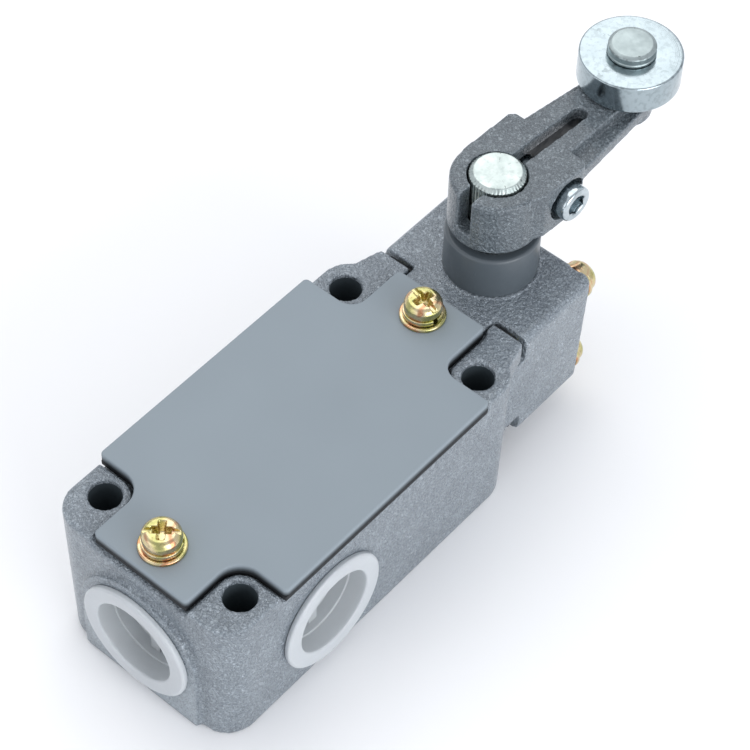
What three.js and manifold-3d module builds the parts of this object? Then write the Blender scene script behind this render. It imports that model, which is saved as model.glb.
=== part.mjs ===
// Roller-lever limit switch in a die-cast housing, lying on its mounting face.
// Millimetres. +Z is up, out of the cover. +Y runs from the conduit end to the lever head.
// The origin is the centre of the four fixing bores, on the mounting face.

import * as THREE from 'three';
import { mergeVertices } from 'three/addons/utils/BufferGeometryUtils.js';
import Module from 'manifold-3d';

const wasm = await Module();
wasm.setup();

// ---------------------------------------------------------------- driving dimensions

const FIX_DX = 30; // spacing of the fixing bores across the body
const FIX_DY = 60; // spacing of the fixing bores along the body
const FIX_BORE_R = 2.9;

const BASE_HALF_X = 19.4; // body half width at the mounting face
const TOP_HALF_X = 20.3; // body half width at the corner pads, after draft
const BODY_Y_LO = -38.1;
const BODY_Y_HI = 36.2;
const BODY_CORNER_R = 5.6;
const EAR_Z = 31.6; // top of the four corner pads
const RIM_Z = 30; // gasket seat around the cavity
const FLOOR_Z = 3.2; // inside of the back wall

const NECK_Y = 40.9; // face that carries the lever head
const NECK_ROOT_HALF_X = 17.6;
const NECK_TIP_HALF_X = 16.2;
const NECK_Z_LO = 5.3;
const NECK_STEP_Z = 26.5; // below this the neck is narrower, inside the head's cheeks
const NECK_LOW_HALF_X = 14.5;

const CAVITY_HALF_X = 16.9;
const CAVITY_Y_LO = -35;
const CAVITY_Y_HI = 35.9;
const CAVITY_NOTCH_X = 8.2;
const CAVITY_NOTCH_Y = 23.7;
const CAVITY_NOTCH_R = 4.2;

const COVER_HALF_X = 20.8;
const COVER_Y_LO = -37.5;
const COVER_Y_HI = 38.2;
const COVER_T = 1.7;
const COVER_Z = 31.6;
const NOTCH_X_LO = 10.3; // clear of the corner pads at the conduit end
const NOTCH_Y_LO = 25.4;
const NOTCH_R_LO = 4.4;
const NOTCH_X_HI = 9.8; // clear of the corner pads at the head end
const NOTCH_Y_HI = 26;
const NOTCH_R_HI = 3.2;
const COVER_GAP = 0.45; // between the cover's notch and the corner pad
const COVER_SCREW_Y = [-32, 33];
const COVER_SCREW_CLEARANCE_R = 2.3;

const GASKET_INSET = 0.15;
const GASKET_T = 1.2;
const GASKET_HALF_WIDTH = 2.3;

const SHANK_R = 1.7; // M4 shanks, drawn at the thread root
const TAP_R = 2.0; // tapped holes for them
const CLEAR_R = 2.1; // clearance holes for them

const RECESS_REACH = 0.55; // cross recess, as parts of the head radius
const RECESS_HALF_WIDTH = 0.14;
const WASHER_R_IN = 2.1;
const FLAT_WASHER_R = 4.15;
const FLAT_WASHER_T = 0.7;
const SPRING_WASHER_R = 3.6;
const SPRING_WASHER_T = 1;
const WASHER_SPLIT = 0.7;
const COVER_SCREW_HEAD = [3.4, 2.7]; // radius, height
const COVER_SCREW_TIP_Z = 25.6;
const STACK_GAP = 0.1; // between a seat and the first washer on it

const LUG_HALF_X = 4.2;
const LUG_Z_LO = 24.6;
const LUG_REACH = 7.2;

const ENTRY_R = 9.6; // conduit entries, M20
const END_ENTRY_Z = 14.2;
const ENTRY_BORE_Y = -29.5;
const END_PAD_R = 13;
const END_PAD_Y = -39.1;
const SIDE_ENTRY_Y = -13.6;
const SIDE_ENTRY_Z = 14.4;
const SIDE_SEAT_R = 12;
const SIDE_SEAT_X = 19.85;

const PLUG_FLANGE_R = 11.5;
const PLUG_FLANGE_T = 1.1;
const PLUG_CUP_R = 9.2;
const PLUG_MOUTH_R = 8.1;
const PLUG_DEPTH = 8.6;
const PLUG_WALL = 1.1;

const HEAD_HALF_X = 16.2;
const HEAD_Y_LO = 42;
const HEAD_Y_HI = 60; // far face, at half height
const HEAD_LEAN = 0.06; // the far face leans outward toward the top
const HEAD_Z_LO = 5.6;
const HEAD_Z_HI = 31.5;
const HEAD_EDGE_R = 1.6;
const CHEEK_Y_LO = 36.6; // side skirts of the head, over the neck
const CHEEK_Z = [10.1, 26.2];
const TONGUE_HALF_X = 9.2;
const TONGUE_Y_LO = 38.7;
const TONGUE_Z_LO = 23.6;
const HEAD_CAVITY_HALF_X = 9.4;
const HEAD_CAVITY_Y_HI = 57.2;
const HEAD_CAVITY_Z = [9.5, 28];
const HEAD_PLAN_R = 3.2; // corners of the head's far face
const HEAD_SCREW_HEAD = [3.1, 2.5];
const HEAD_SCREW_X = 12.2;
const HEAD_SCREW_Z = [8.9, 27.6];
const HEAD_SCREW_SEAT_R = 3.75; // spot faces under the washers
const HEAD_SCREW_SEAT_DEPTH = 0.3;
const HEAD_SCREW_TIP_Y = 36.7;

const AXIS_Y = 51.7; // lever shaft
const BOSS_R = 8.5;
const BOSS_TOP_Z = 40.8;
const BOSS_EDGE = 0.6;
const BOSS_FOOT_FLARE = 0.3;
const BUSHING_Z = [28.3, 37.4];
const SEAL_Z = [37.8, 40.5];
const SLEEVE_GAP = 0.2; // between the boss bore and the sleeves in it
const BOSS_BORE_R = 6.3;
const BEARING_R = 5.25; // bore of the bushing and seal
const SHAFT_R = 5;
const JOURNAL_R = 4; // lower part of the shaft
const SHAFT_STEP_Z = 28;
const SHAFT_TOP_Z = 54.9;
const SHAFT_FOOT_Z = 8;
const FOOT_BORE_Z = 7.6;
const FOOT_BORE_R = 4.3;

const LEVER_SET_DEG = -4.2; // angle at which the lever is clamped on its shaft
const HUB_R = 8.3;
const HUB_Z = [42.4, 54];
const HUB_BORE_R = 5.35;
const BLOCK_Z_LO = 43.6;
const BLOCK_HALF_X = [8.6, 9.3]; // plain side, screw side
const BLOCK_Y_HI = 13;
const ARM_FLANGE_Z = [49.6, 52];
const ARM_ROOT_X = [-7.3, 8.5]; // plain side, screw side
const ARM_TIP_R = 5.8;
const TIP_BOSS_R = 5; // thicker end round the pin
const TIP_BOSS_Z = 46.5;
const ARM_LENGTH = 33.55; // shaft axis to roller axis
const RIB_ROOT_X = [-5.2, 5.2];
const RIB_TIP_R = 3.8;
const SLOT_HALF_X = 1.4;
const SLOT_END_Y = 20.8;
const SLOT_WALL_HALF_X = 4.2; // thicker part of the arm along the slot
const SLOT_WALL_Y_HI = 24.4;
const SLOT_WALL_Z = 47.2;
const SLIT_HALF_X = 1.4;
const SLIT_Z_LO = 45.6;
const CLAMP_Y = 8.3;
const CLAMP_Z = 48.7;
const CLAMP_HEAD_R = 3.4;
const CLAMP_HEAD_H = 3.9;
const CLAMP_RECESS_R = 4.2;
const CLAMP_SEAT_X = 7.1;
const CLAMP_SHANK_R = 2;
const CLAMP_SHANK_LENGTH = 13.7;
const SOCKET_R = 1.9; // hexagon, across the corners
const SOCKET_DEPTH = 2.2;

const ROLLER_R = 9.25;
const ROLLER_Z = [54.4, 60.3];
const ROLLER_EDGE = 0.5;
const ROLLER_BORE_R = 3.4;
const PIN_R = 3;
const PIN_HOLE_R = 3.3;
const PIN_HEAD_R = 4.4;
const PIN_HEAD_H = 2.1;
const PIN_RIVET_R = 3.9;
const PIN_RIVET_H = 1.7;

const PLUNGER_Z = 13.6;
const PLUNGER_R = 2.5;
const PLUNGER_Y = [21.4, 43.9];
const PLUNGER_DISC_R = 3.8;
const PLUNGER_DISC_T = 1.6;
const GUIDE_Y_HI = 38.4;
const GUIDE_BORE_R = 2.8;
const GUIDE_FLANGE_R = 6;
const GUIDE_SEAT_R = 4.6;
const CAM_R = 7.4;
const CAM_FLAT = 5;
const CAM_COLLAR_R = 5.3;
const CAM_Z = [11.1, 16.1];
const RETAINING_RING_R = 5.3;
const RETAINING_RING_Z = 26.9;
const LEVER_SPRING = { radius: 4.9, wireR: 0.45, zLo: 17, zHi: 25.8, turns: 5 };
const RETURN_SPRING = { radius: 1.9, wireR: 0.3, yLo: 0.5, yHi: 4.2, turns: 3 };

const BLOCK_BASE = { halfX: 15.2, yLo: -2, yHi: 23.2, zLo: 3.5, zHi: 17.7 };
const TRAY_HALF_X = 10.2;
const TRAY_Z_LO = 9.3;
const CARRIER = { halfX: 3.3, yLo: 6.5, yHi: 21, halfZ: 3.5 };
const CARRIER_WINDOW_HALF_Z = 1.6;
const BRIDGE_Y = [9, 18.5];
const LEG_Y = [[9.9, 10.7], [13.9, 14.7]];
const STRIP_Z = [17.9, 18.8];
const LEG_Z_LO = 12;
const TERMINAL_X = 12.7;
const TERMINAL_Y = [5.8, 18];
const TERMINAL_HALF_Y = 2.6;
const STRIP_X = [6, 15];
const LEG_X_HI = 9.6;
const TERMINAL_SCREW = { headR: 2.6, headH: 1.8, length: 6.2, shankR: 1.3 };
const BLOCK_SCREW = { headR: 2.4, headH: 1.8, shankR: 1.2 };
const BLOCK_SCREW_XY = [[-12.7, 0.4], [12.7, 0.4]];
const BLOCK_SCREW_DEPTH = 1.5; // into the back wall
const LID_HALF_X = 9.6;
const LID_T = 1.5;
const BRIDGE_HALF_X = 8.8;
const BRIDGE_HALF_Z = 1.2;
const BRIDGE_HALF_T = 0.4;
const TIP_X = 7.4;
const TIP_R = 1.1;

const EARTH_XY = [-11.5, -18.5];
const EARTH_BOSS_R = 3.6;
const EARTH_BOSS_H = 4.2;
const EARTH_WASHER_R = 3.9;
const EARTH_SCREW = { headR: 3.4, headH: 2.2, length: 4.6, shankR: 1.6 };

const LOOSE = 0.3; // gap between pieces that only touch in use

const SEG_FINE = 32; // facets round the large cylinders
const SEG_MID = 24;
const SEG_SMALL = 14;
const SEG_TAP = 10; // hidden bores

// ---------------------------------------------------------------- solids

function toSolid(geometry) {
  const bare = geometry.clone();
  bare.deleteAttribute('normal');
  bare.deleteAttribute('uv');
  const merged = mergeVertices(bare, 1e-4);
  const index = merged.index.array;
  const triVerts = [];
  for (let i = 0; i < index.length; i += 3) {
    const [a, b, c] = [index[i], index[i + 1], index[i + 2]];
    if (a !== b && b !== c && c !== a) {
      triVerts.push(a, b, c);
    }
  }
  const mesh = new wasm.Mesh({
    numProp: 3,
    vertProperties: new Float32Array(merged.attributes.position.array),
    triVerts: new Uint32Array(triVerts),
  });
  return new wasm.Manifold(mesh);
}

function toGeometry(solid) {
  const mesh = solid.getMesh();
  const geometry = new THREE.BufferGeometry();
  geometry.setAttribute('position', new THREE.BufferAttribute(new Float32Array(mesh.vertProperties), 3));
  geometry.setIndex(new THREE.BufferAttribute(new Uint32Array(mesh.triVerts), 1));
  geometry.computeVertexNormals();
  return geometry;
}

function box(x0, x1, y0, y1, z0, z1) {
  const geometry = new THREE.BoxGeometry(x1 - x0, y1 - y0, z1 - z0);
  geometry.translate((x0 + x1) / 2, (y0 + y1) / 2, (z0 + z1) / 2);
  return toSolid(geometry);
}

// Cylinder along an axis, from a to b on it, centred at the other two coordinates.
function rod(axis, r, a, b, centre, segments = SEG_MID) {
  const geometry = new THREE.CylinderGeometry(r, r, b - a, segments);
  if (axis === 'x') {
    geometry.rotateZ(-Math.PI / 2);
    geometry.translate((a + b) / 2, centre[0], centre[1]);
  } else if (axis === 'y') {
    geometry.translate(centre[0], (a + b) / 2, centre[1]);
  } else {
    geometry.rotateX(Math.PI / 2);
    geometry.translate(centre[0], centre[1], (a + b) / 2);
  }
  return toSolid(geometry);
}

// Solid of revolution about Z. The profile is a closed outline of [radius, height].
function turned(profile, segments = SEG_MID) {
  const points = profile.map(([r, h]) => new THREE.Vector2(r, h));
  const first = profile[0];
  const last = profile[profile.length - 1];
  if (first[0] > 0 || last[0] > 0) {
    points.push(new THREE.Vector2(first[0], first[1]));
  }
  const geometry = new THREE.LatheGeometry(points, segments);
  geometry.rotateX(Math.PI / 2);
  const solid = toSolid(geometry);
  if (solid.volume() > 0) {
    return solid;
  }
  geometry.index.array.reverse();
  return toSolid(geometry);
}

function ring(rIn, rOut, z0, z1, segments = SEG_MID) {
  return turned([[rIn, z0], [rOut, z0], [rOut, z1], [rIn, z1]], segments);
}

function slab(shape, z0, z1, curveSegments = 8) {
  const geometry = new THREE.ExtrudeGeometry(shape, {
    depth: z1 - z0,
    bevelEnabled: false,
    curveSegments,
  });
  geometry.translate(0, 0, z0);
  return toSolid(geometry);
}

function polygon(points) {
  return new THREE.Shape(points.map(([x, y]) => new THREE.Vector2(x, y)));
}

function joined(first, ...others) {
  return others.reduce((sum, solid) => sum.add(solid), first);
}

function cut(first, ...others) {
  return others.reduce((rest, solid) => rest.subtract(solid), first);
}

// Closed coil of round wire about Z.
function coil(radius, wireR, z0, z1, turns, stepsPerTurn = 9, sides = 5) {
  class Helix extends THREE.Curve {
    getPoint(t, target = new THREE.Vector3()) {
      const angle = 2 * Math.PI * turns * t;
      return target.set(radius * Math.cos(angle), radius * Math.sin(angle), z0 + (z1 - z0) * t);
    }
  }
  const section = new THREE.Shape();
  for (let i = 0; i < sides; i += 1) {
    const angle = (2 * Math.PI * i) / sides;
    const x = wireR * Math.cos(angle);
    const y = wireR * Math.sin(angle);
    if (i === 0) {
      section.moveTo(x, y);
    } else {
      section.lineTo(x, y);
    }
  }
  section.closePath();
  const geometry = new THREE.ExtrudeGeometry(section, {
    steps: Math.round(turns * stepsPerTurn),
    extrudePath: new Helix(),
    bevelEnabled: false,
  });
  return toSolid(geometry);
}

// ---------------------------------------------------------------- outlines

function roundedRect(x0, x1, y0, y1, r) {
  const shape = new THREE.Shape();
  shape.moveTo(x0 + r, y0);
  shape.lineTo(x1 - r, y0);
  shape.absarc(x1 - r, y0 + r, r, -Math.PI / 2, 0, false);
  shape.lineTo(x1, y1 - r);
  shape.absarc(x1 - r, y1 - r, r, 0, Math.PI / 2, false);
  shape.lineTo(x0 + r, y1);
  shape.absarc(x0 + r, y1 - r, r, Math.PI / 2, Math.PI, false);
  shape.lineTo(x0, y0 + r);
  shape.absarc(x0 + r, y0 + r, r, Math.PI, 1.5 * Math.PI, false);
  return shape;
}

// Rectangle with a notch at each corner; the notch's inner corner is rounded.
function notchedOutline(size) {
  const { halfX, yLo, yHi, xLo, yNotchLo, rLo, xHi, yNotchHi, rHi } = size;
  const shape = new THREE.Shape();
  shape.moveTo(-xLo, yLo);
  shape.lineTo(xLo, yLo);
  shape.lineTo(xLo, -yNotchLo - rLo);
  shape.absarc(xLo + rLo, -yNotchLo - rLo, rLo, Math.PI, Math.PI / 2, true);
  shape.lineTo(halfX, -yNotchLo);
  shape.lineTo(halfX, yNotchHi);
  shape.lineTo(xHi + rHi, yNotchHi);
  shape.absarc(xHi + rHi, yNotchHi + rHi, rHi, -Math.PI / 2, Math.PI, true);
  shape.lineTo(xHi, yHi);
  shape.lineTo(-xHi, yHi);
  shape.lineTo(-xHi, yNotchHi + rHi);
  shape.absarc(-xHi - rHi, yNotchHi + rHi, rHi, 0, -Math.PI / 2, true);
  shape.lineTo(-halfX, yNotchHi);
  shape.lineTo(-halfX, -yNotchLo);
  shape.lineTo(-xLo - rLo, -yNotchLo);
  shape.absarc(-xLo - rLo, -yNotchLo - rLo, rLo, Math.PI / 2, 0, true);
  shape.lineTo(-xLo, yLo);
  return shape;
}

// The cover's outline, grown by `grow` all round.
function coverOutline(grow, sides = {}) {
  return notchedOutline({
    halfX: COVER_HALF_X + grow,
    yLo: COVER_Y_LO - grow,
    yHi: COVER_Y_HI + grow,
    xLo: NOTCH_X_LO + grow,
    yNotchLo: NOTCH_Y_LO + grow,
    rLo: NOTCH_R_LO - grow,
    xHi: NOTCH_X_HI + grow,
    yNotchHi: NOTCH_Y_HI + grow,
    rHi: NOTCH_R_HI - grow,
    ...sides,
  });
}

function cavityOutline(grow) {
  return notchedOutline({
    halfX: CAVITY_HALF_X + grow,
    yLo: CAVITY_Y_LO - grow,
    yHi: CAVITY_Y_HI + grow,
    xLo: CAVITY_NOTCH_X + grow,
    yNotchLo: CAVITY_NOTCH_Y + grow,
    rLo: CAVITY_NOTCH_R - grow,
    xHi: CAVITY_NOTCH_X + grow,
    yNotchHi: CAVITY_NOTCH_Y + grow,
    rHi: CAVITY_NOTCH_R - grow,
  });
}

// ---------------------------------------------------------------- materials

function paintedCasting() {
  return new THREE.MeshStandardMaterial({ color: 0x7f8c96, roughness: 0.55, metalness: 0.35 });
}

function coverPaint() {
  return new THREE.MeshStandardMaterial({ color: 0x98a3ab, roughness: 0.42, metalness: 0.1 });
}

function blackRubber() {
  return new THREE.MeshStandardMaterial({ color: 0x1c1e20, roughness: 0.85, metalness: 0 });
}

function yellowZinc() {
  return new THREE.MeshStandardMaterial({ color: 0xc9a85a, roughness: 0.3, metalness: 0.9 });
}

function brightZinc() {
  return new THREE.MeshStandardMaterial({ color: 0xcfdad8, roughness: 0.22, metalness: 0.95 });
}

function naturalPolyethylene() {
  return new THREE.MeshStandardMaterial({ color: 0xe6ebed, roughness: 0.4, metalness: 0 });
}

function sinteredBronze() {
  return new THREE.MeshStandardMaterial({ color: 0x9a7442, roughness: 0.5, metalness: 0.8 });
}

function hardenedSteel() {
  return new THREE.MeshStandardMaterial({ color: 0x83878a, roughness: 0.35, metalness: 0.95 });
}

function springSteel() {
  return new THREE.MeshStandardMaterial({ color: 0x6c6f72, roughness: 0.4, metalness: 0.9 });
}

function blackPhenolic() {
  return new THREE.MeshStandardMaterial({ color: 0x26221f, roughness: 0.6, metalness: 0 });
}

function whitePolyamide() {
  return new THREE.MeshStandardMaterial({ color: 0xd9d6cb, roughness: 0.5, metalness: 0 });
}

function brass() {
  return new THREE.MeshStandardMaterial({ color: 0xb99a4c, roughness: 0.35, metalness: 0.9 });
}

// ---------------------------------------------------------------- scene graph helpers

const switchGroup = new THREE.Group();

function place(parent, name, solid, material, position = [0, 0, 0]) {
  const mesh = new THREE.Mesh(toGeometry(solid), material);
  mesh.name = name;
  mesh.position.set(...position);
  parent.add(mesh);
  return mesh;
}

// ---------------------------------------------------------------- housing

function housingSolid() {
  const outline = roundedRect(-BASE_HALF_X, BASE_HALF_X, BODY_Y_LO, BODY_Y_HI, BODY_CORNER_R);
  const blockGeometry = new THREE.ExtrudeGeometry(outline, {
    depth: EAR_Z,
    bevelEnabled: false,
    curveSegments: 6,
  });
  const points = blockGeometry.attributes.position;
  for (let i = 0; i < points.count; i += 1) {
    const draft = 1 + (TOP_HALF_X / BASE_HALF_X - 1) * (points.getZ(i) / EAR_Z);
    points.setX(i, points.getX(i) * draft);
  }
  const block = toSolid(blockGeometry);
  const neckRootY = BODY_Y_HI - BODY_CORNER_R;
  const neck = slab(polygon([
    [-NECK_ROOT_HALF_X, neckRootY],
    [NECK_ROOT_HALF_X, neckRootY],
    [NECK_ROOT_HALF_X, BODY_Y_HI - 0.5],
    [NECK_TIP_HALF_X, NECK_Y],
    [-NECK_TIP_HALF_X, NECK_Y],
    [-NECK_ROOT_HALF_X, BODY_Y_HI - 0.5],
  ]), NECK_STEP_Z, EAR_Z);
  const neckLow = box(-NECK_LOW_HALF_X, NECK_LOW_HALF_X, neckRootY, NECK_Y, NECK_Z_LO, NECK_STEP_Z + 1);
  const padShape = new THREE.Shape();
  padShape.moveTo(-END_PAD_R, 0);
  padShape.lineTo(END_PAD_R, 0);
  padShape.lineTo(END_PAD_R, END_ENTRY_Z);
  padShape.absarc(0, END_ENTRY_Z, END_PAD_R, 0, Math.PI, false);
  padShape.lineTo(-END_PAD_R, 0);
  const padGeometry = new THREE.ExtrudeGeometry(padShape, {
    depth: BODY_Y_LO + 1 - END_PAD_Y,
    bevelEnabled: false,
    curveSegments: 14,
  });
  padGeometry.rotateX(Math.PI / 2);
  padGeometry.translate(0, BODY_Y_LO + 1, 0);
  const endPad = toSolid(padGeometry);
  const sidePad = rod('x', SIDE_SEAT_R, BASE_HALF_X - 2, SIDE_SEAT_X, [SIDE_ENTRY_Y, SIDE_ENTRY_Z]);
  return cut(
    joined(block, neck, neckLow, endPad, sidePad),
    slab(cavityOutline(0), FLOOR_Z, EAR_Z + 1, 4),
    rimCut(),
  );
}

// Everything above the gasket seat, apart from the four corner pads.
function rimCut() {
  const outline = coverOutline(COVER_GAP, { halfX: 30, yLo: -45 });
  return slab(outline, RIM_Z, EAR_Z + 1, 6);
}

function lugSolid(y, wallY) {
  const tip = y < 0 ? y + LUG_REACH / 2 : y - LUG_REACH / 2;
  return box(-LUG_HALF_X, LUG_HALF_X, Math.min(tip, wallY), Math.max(tip, wallY), LUG_Z_LO, RIM_Z);
}

function earthBossSolid() {
  return rod('z', EARTH_BOSS_R, FLOOR_Z - 1, FLOOR_Z + EARTH_BOSS_H, EARTH_XY, SEG_SMALL);
}

function finishedHousing() {
  let solid = joined(
    housingSolid(),
    lugSolid(COVER_SCREW_Y[0], CAVITY_Y_LO - 1),
    lugSolid(COVER_SCREW_Y[1], CAVITY_Y_HI + 1),
    earthBossSolid(),
  );
  for (const x of [-FIX_DX / 2, FIX_DX / 2]) {
    for (const y of [-FIX_DY / 2, FIX_DY / 2]) {
      solid = cut(solid, rod('z', FIX_BORE_R, -1, EAR_Z + 1, [x, y], SEG_FINE));
    }
  }
  for (const y of COVER_SCREW_Y) {
    solid = cut(solid, rod('z', TAP_R, LUG_Z_LO - 1, RIM_Z + 1, [0, y], SEG_TAP));
  }
  for (const x of [-HEAD_SCREW_X, HEAD_SCREW_X]) {
    for (const z of HEAD_SCREW_Z) {
      solid = cut(solid, rod('y', TAP_R, HEAD_SCREW_TIP_Y - 0.4, NECK_Y + 1, [x, z], SEG_TAP));
    }
  }
  return cut(
    solid,
    rod('y', ENTRY_R, END_PAD_Y - 1, ENTRY_BORE_Y, [0, END_ENTRY_Z], SEG_FINE),
    rod('x', ENTRY_R, CAVITY_HALF_X - 1, TOP_HALF_X + 1, [SIDE_ENTRY_Y, SIDE_ENTRY_Z], SEG_FINE),
    rod('x', SIDE_SEAT_R, SIDE_SEAT_X, TOP_HALF_X + 1, [SIDE_ENTRY_Y, SIDE_ENTRY_Z], SEG_FINE),
    tongueRoom(TONGUE_Y_LO - LOOSE, NECK_Y + 1),
    rod('y', GUIDE_SEAT_R, CAVITY_Y_HI - 1, NECK_Y + 1, [0, PLUNGER_Z]),
    rod('z', TAP_R, FLOOR_Z + 0.2, FLOOR_Z + EARTH_BOSS_H + 1, EARTH_XY, SEG_TAP),
    ...BLOCK_SCREW_XY.map(([x, y]) => (
      rod('z', BLOCK_SCREW.shankR + LOOSE, FLOOR_Z - BLOCK_SCREW_DEPTH - 0.4, FLOOR_Z + 1, [x, y], SEG_TAP)
    )),
  );
}

// Room for the head's tongue, open at the top.
function tongueRoom(y0, y1) {
  const halfX = TONGUE_HALF_X + LOOSE;
  return box(-halfX, halfX, y0, y1, TONGUE_Z_LO - LOOSE, HEAD_Z_HI + 5);
}

// ---------------------------------------------------------------- cover, gasket and plugs

function coverSolid() {
  const top = COVER_Z + COVER_T;
  let solid = slab(coverOutline(0), COVER_Z, top, 6);
  for (const y of COVER_SCREW_Y) {
    solid = cut(solid, rod('z', COVER_SCREW_CLEARANCE_R, COVER_Z - 1, top + 1, [0, y], SEG_TAP));
  }
  return solid;
}

function gasketSolid() {
  const z0 = RIM_Z + 0.2;
  let solid = slab(coverOutline(-GASKET_INSET), z0, z0 + GASKET_T, 4);
  solid = cut(solid, slab(cavityOutline(0.4), z0 - 1, z0 + GASKET_T + 1, 4));
  for (const y of COVER_SCREW_Y) {
    const inward = y < 0 ? 1 : -1;
    const tip = y + inward * LUG_REACH * 0.5;
    const wall = y < 0 ? CAVITY_Y_LO - 0.6 : CAVITY_Y_HI + 0.6;
    const pad = box(-LUG_HALF_X, LUG_HALF_X, Math.min(tip, wall), Math.max(tip, wall), z0, z0 + GASKET_T);
    solid = cut(joined(solid, pad), rod('z', COVER_SCREW_CLEARANCE_R, z0 - 1, z0 + 2, [0, y], SEG_TAP));
  }
  return solid;
}

// Blanking plug: a thin cup with a flange, its mouth facing +Z, flange seat at z = 0.
function plugSolid() {
  const floorZ = -PLUG_DEPTH;
  const cup = turned([
    [0, floorZ],
    [PLUG_CUP_R - 0.6, floorZ],
    [PLUG_CUP_R, floorZ + 0.8],
    [PLUG_CUP_R, 0],
    [PLUG_FLANGE_R, 0],
    [PLUG_FLANGE_R, PLUG_FLANGE_T - 0.3],
    [PLUG_FLANGE_R - 0.3, PLUG_FLANGE_T],
    [PLUG_MOUTH_R, PLUG_FLANGE_T],
    [PLUG_CUP_R - PLUG_WALL, 0],
    [PLUG_CUP_R - PLUG_WALL, floorZ + PLUG_WALL],
    [0, floorZ + PLUG_WALL],
  ], SEG_FINE);
  return cup;
}

// ---------------------------------------------------------------- screws

// Pan-head screw along +Z, seat at z = 0, with a cross recess.
function panScrew(headR, headH, shankLength) {
  const body = turned([
    [0, -shankLength],
    [SHANK_R, -shankLength],
    [SHANK_R, 0],
    [headR, 0],
    [headR, headH * 0.5],
    [headR * 0.8, headH * 0.92],
    [0, headH],
  ], SEG_SMALL);
  const reach = headR * RECESS_REACH;
  const wide = headR * RECESS_HALF_WIDTH;
  const deep = headH * 0.45;
  return cut(
    body,
    box(-reach, reach, -wide, wide, deep, headH + 1),
    box(-wide, wide, -reach, reach, deep, headH + 1),
  );
}

// Slotted cheese-head screw along +Z, seat at z = 0, for the hidden fixings.
function slottedScrew({ headR, headH, length, shankR }) {
  const head = rod('z', headR, 0, headH, [0, 0], SEG_TAP);
  const shank = rod('z', shankR, -length, 0.5, [0, 0], SEG_TAP);
  const slot = box(-headR - 1, headR + 1, -0.4, 0.4, headH * 0.5, headH + 1);
  return cut(joined(head, shank), slot);
}

// Split spring washer, lying on z = 0.
function springWasher(rIn, rOut, t) {
  const slit = box(rIn - 1, rOut + 1, -WASHER_SPLIT / 2, WASHER_SPLIT / 2, -1, t + 1);
  return cut(ring(rIn, rOut, 0, t, SEG_SMALL), slit);
}

function addCoverScrews(parent) {
  const flatZ = COVER_Z + COVER_T + STACK_GAP;
  const springZ = flatZ + FLAT_WASHER_T + STACK_GAP;
  const seat = springZ + SPRING_WASHER_T + STACK_GAP;
  const [headR, headH] = COVER_SCREW_HEAD;
  COVER_SCREW_Y.forEach((y, i) => {
    const flat = ring(WASHER_R_IN, FLAT_WASHER_R, 0, FLAT_WASHER_T);
    const split = springWasher(WASHER_R_IN, SPRING_WASHER_R, SPRING_WASHER_T);
    const screw = panScrew(headR, headH, seat - COVER_SCREW_TIP_Z);
    place(parent, `cover_flat_washer_${i + 1}`, flat, yellowZinc(), [0, y, flatZ]);
    place(parent, `cover_spring_washer_${i + 1}`, split, yellowZinc(), [0, y, springZ]);
    place(parent, `cover_screw_${i + 1}`, screw, yellowZinc(), [0, y, seat]);
  });
}

// ---------------------------------------------------------------- lever head

// Where a head screw at this height has its spot face.
function headSeatY(z) {
  const faceY = HEAD_Y_HI + HEAD_LEAN * (z - (HEAD_Z_LO + HEAD_Z_HI) / 2);
  return faceY - HEAD_SCREW_SEAT_DEPTH;
}

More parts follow.
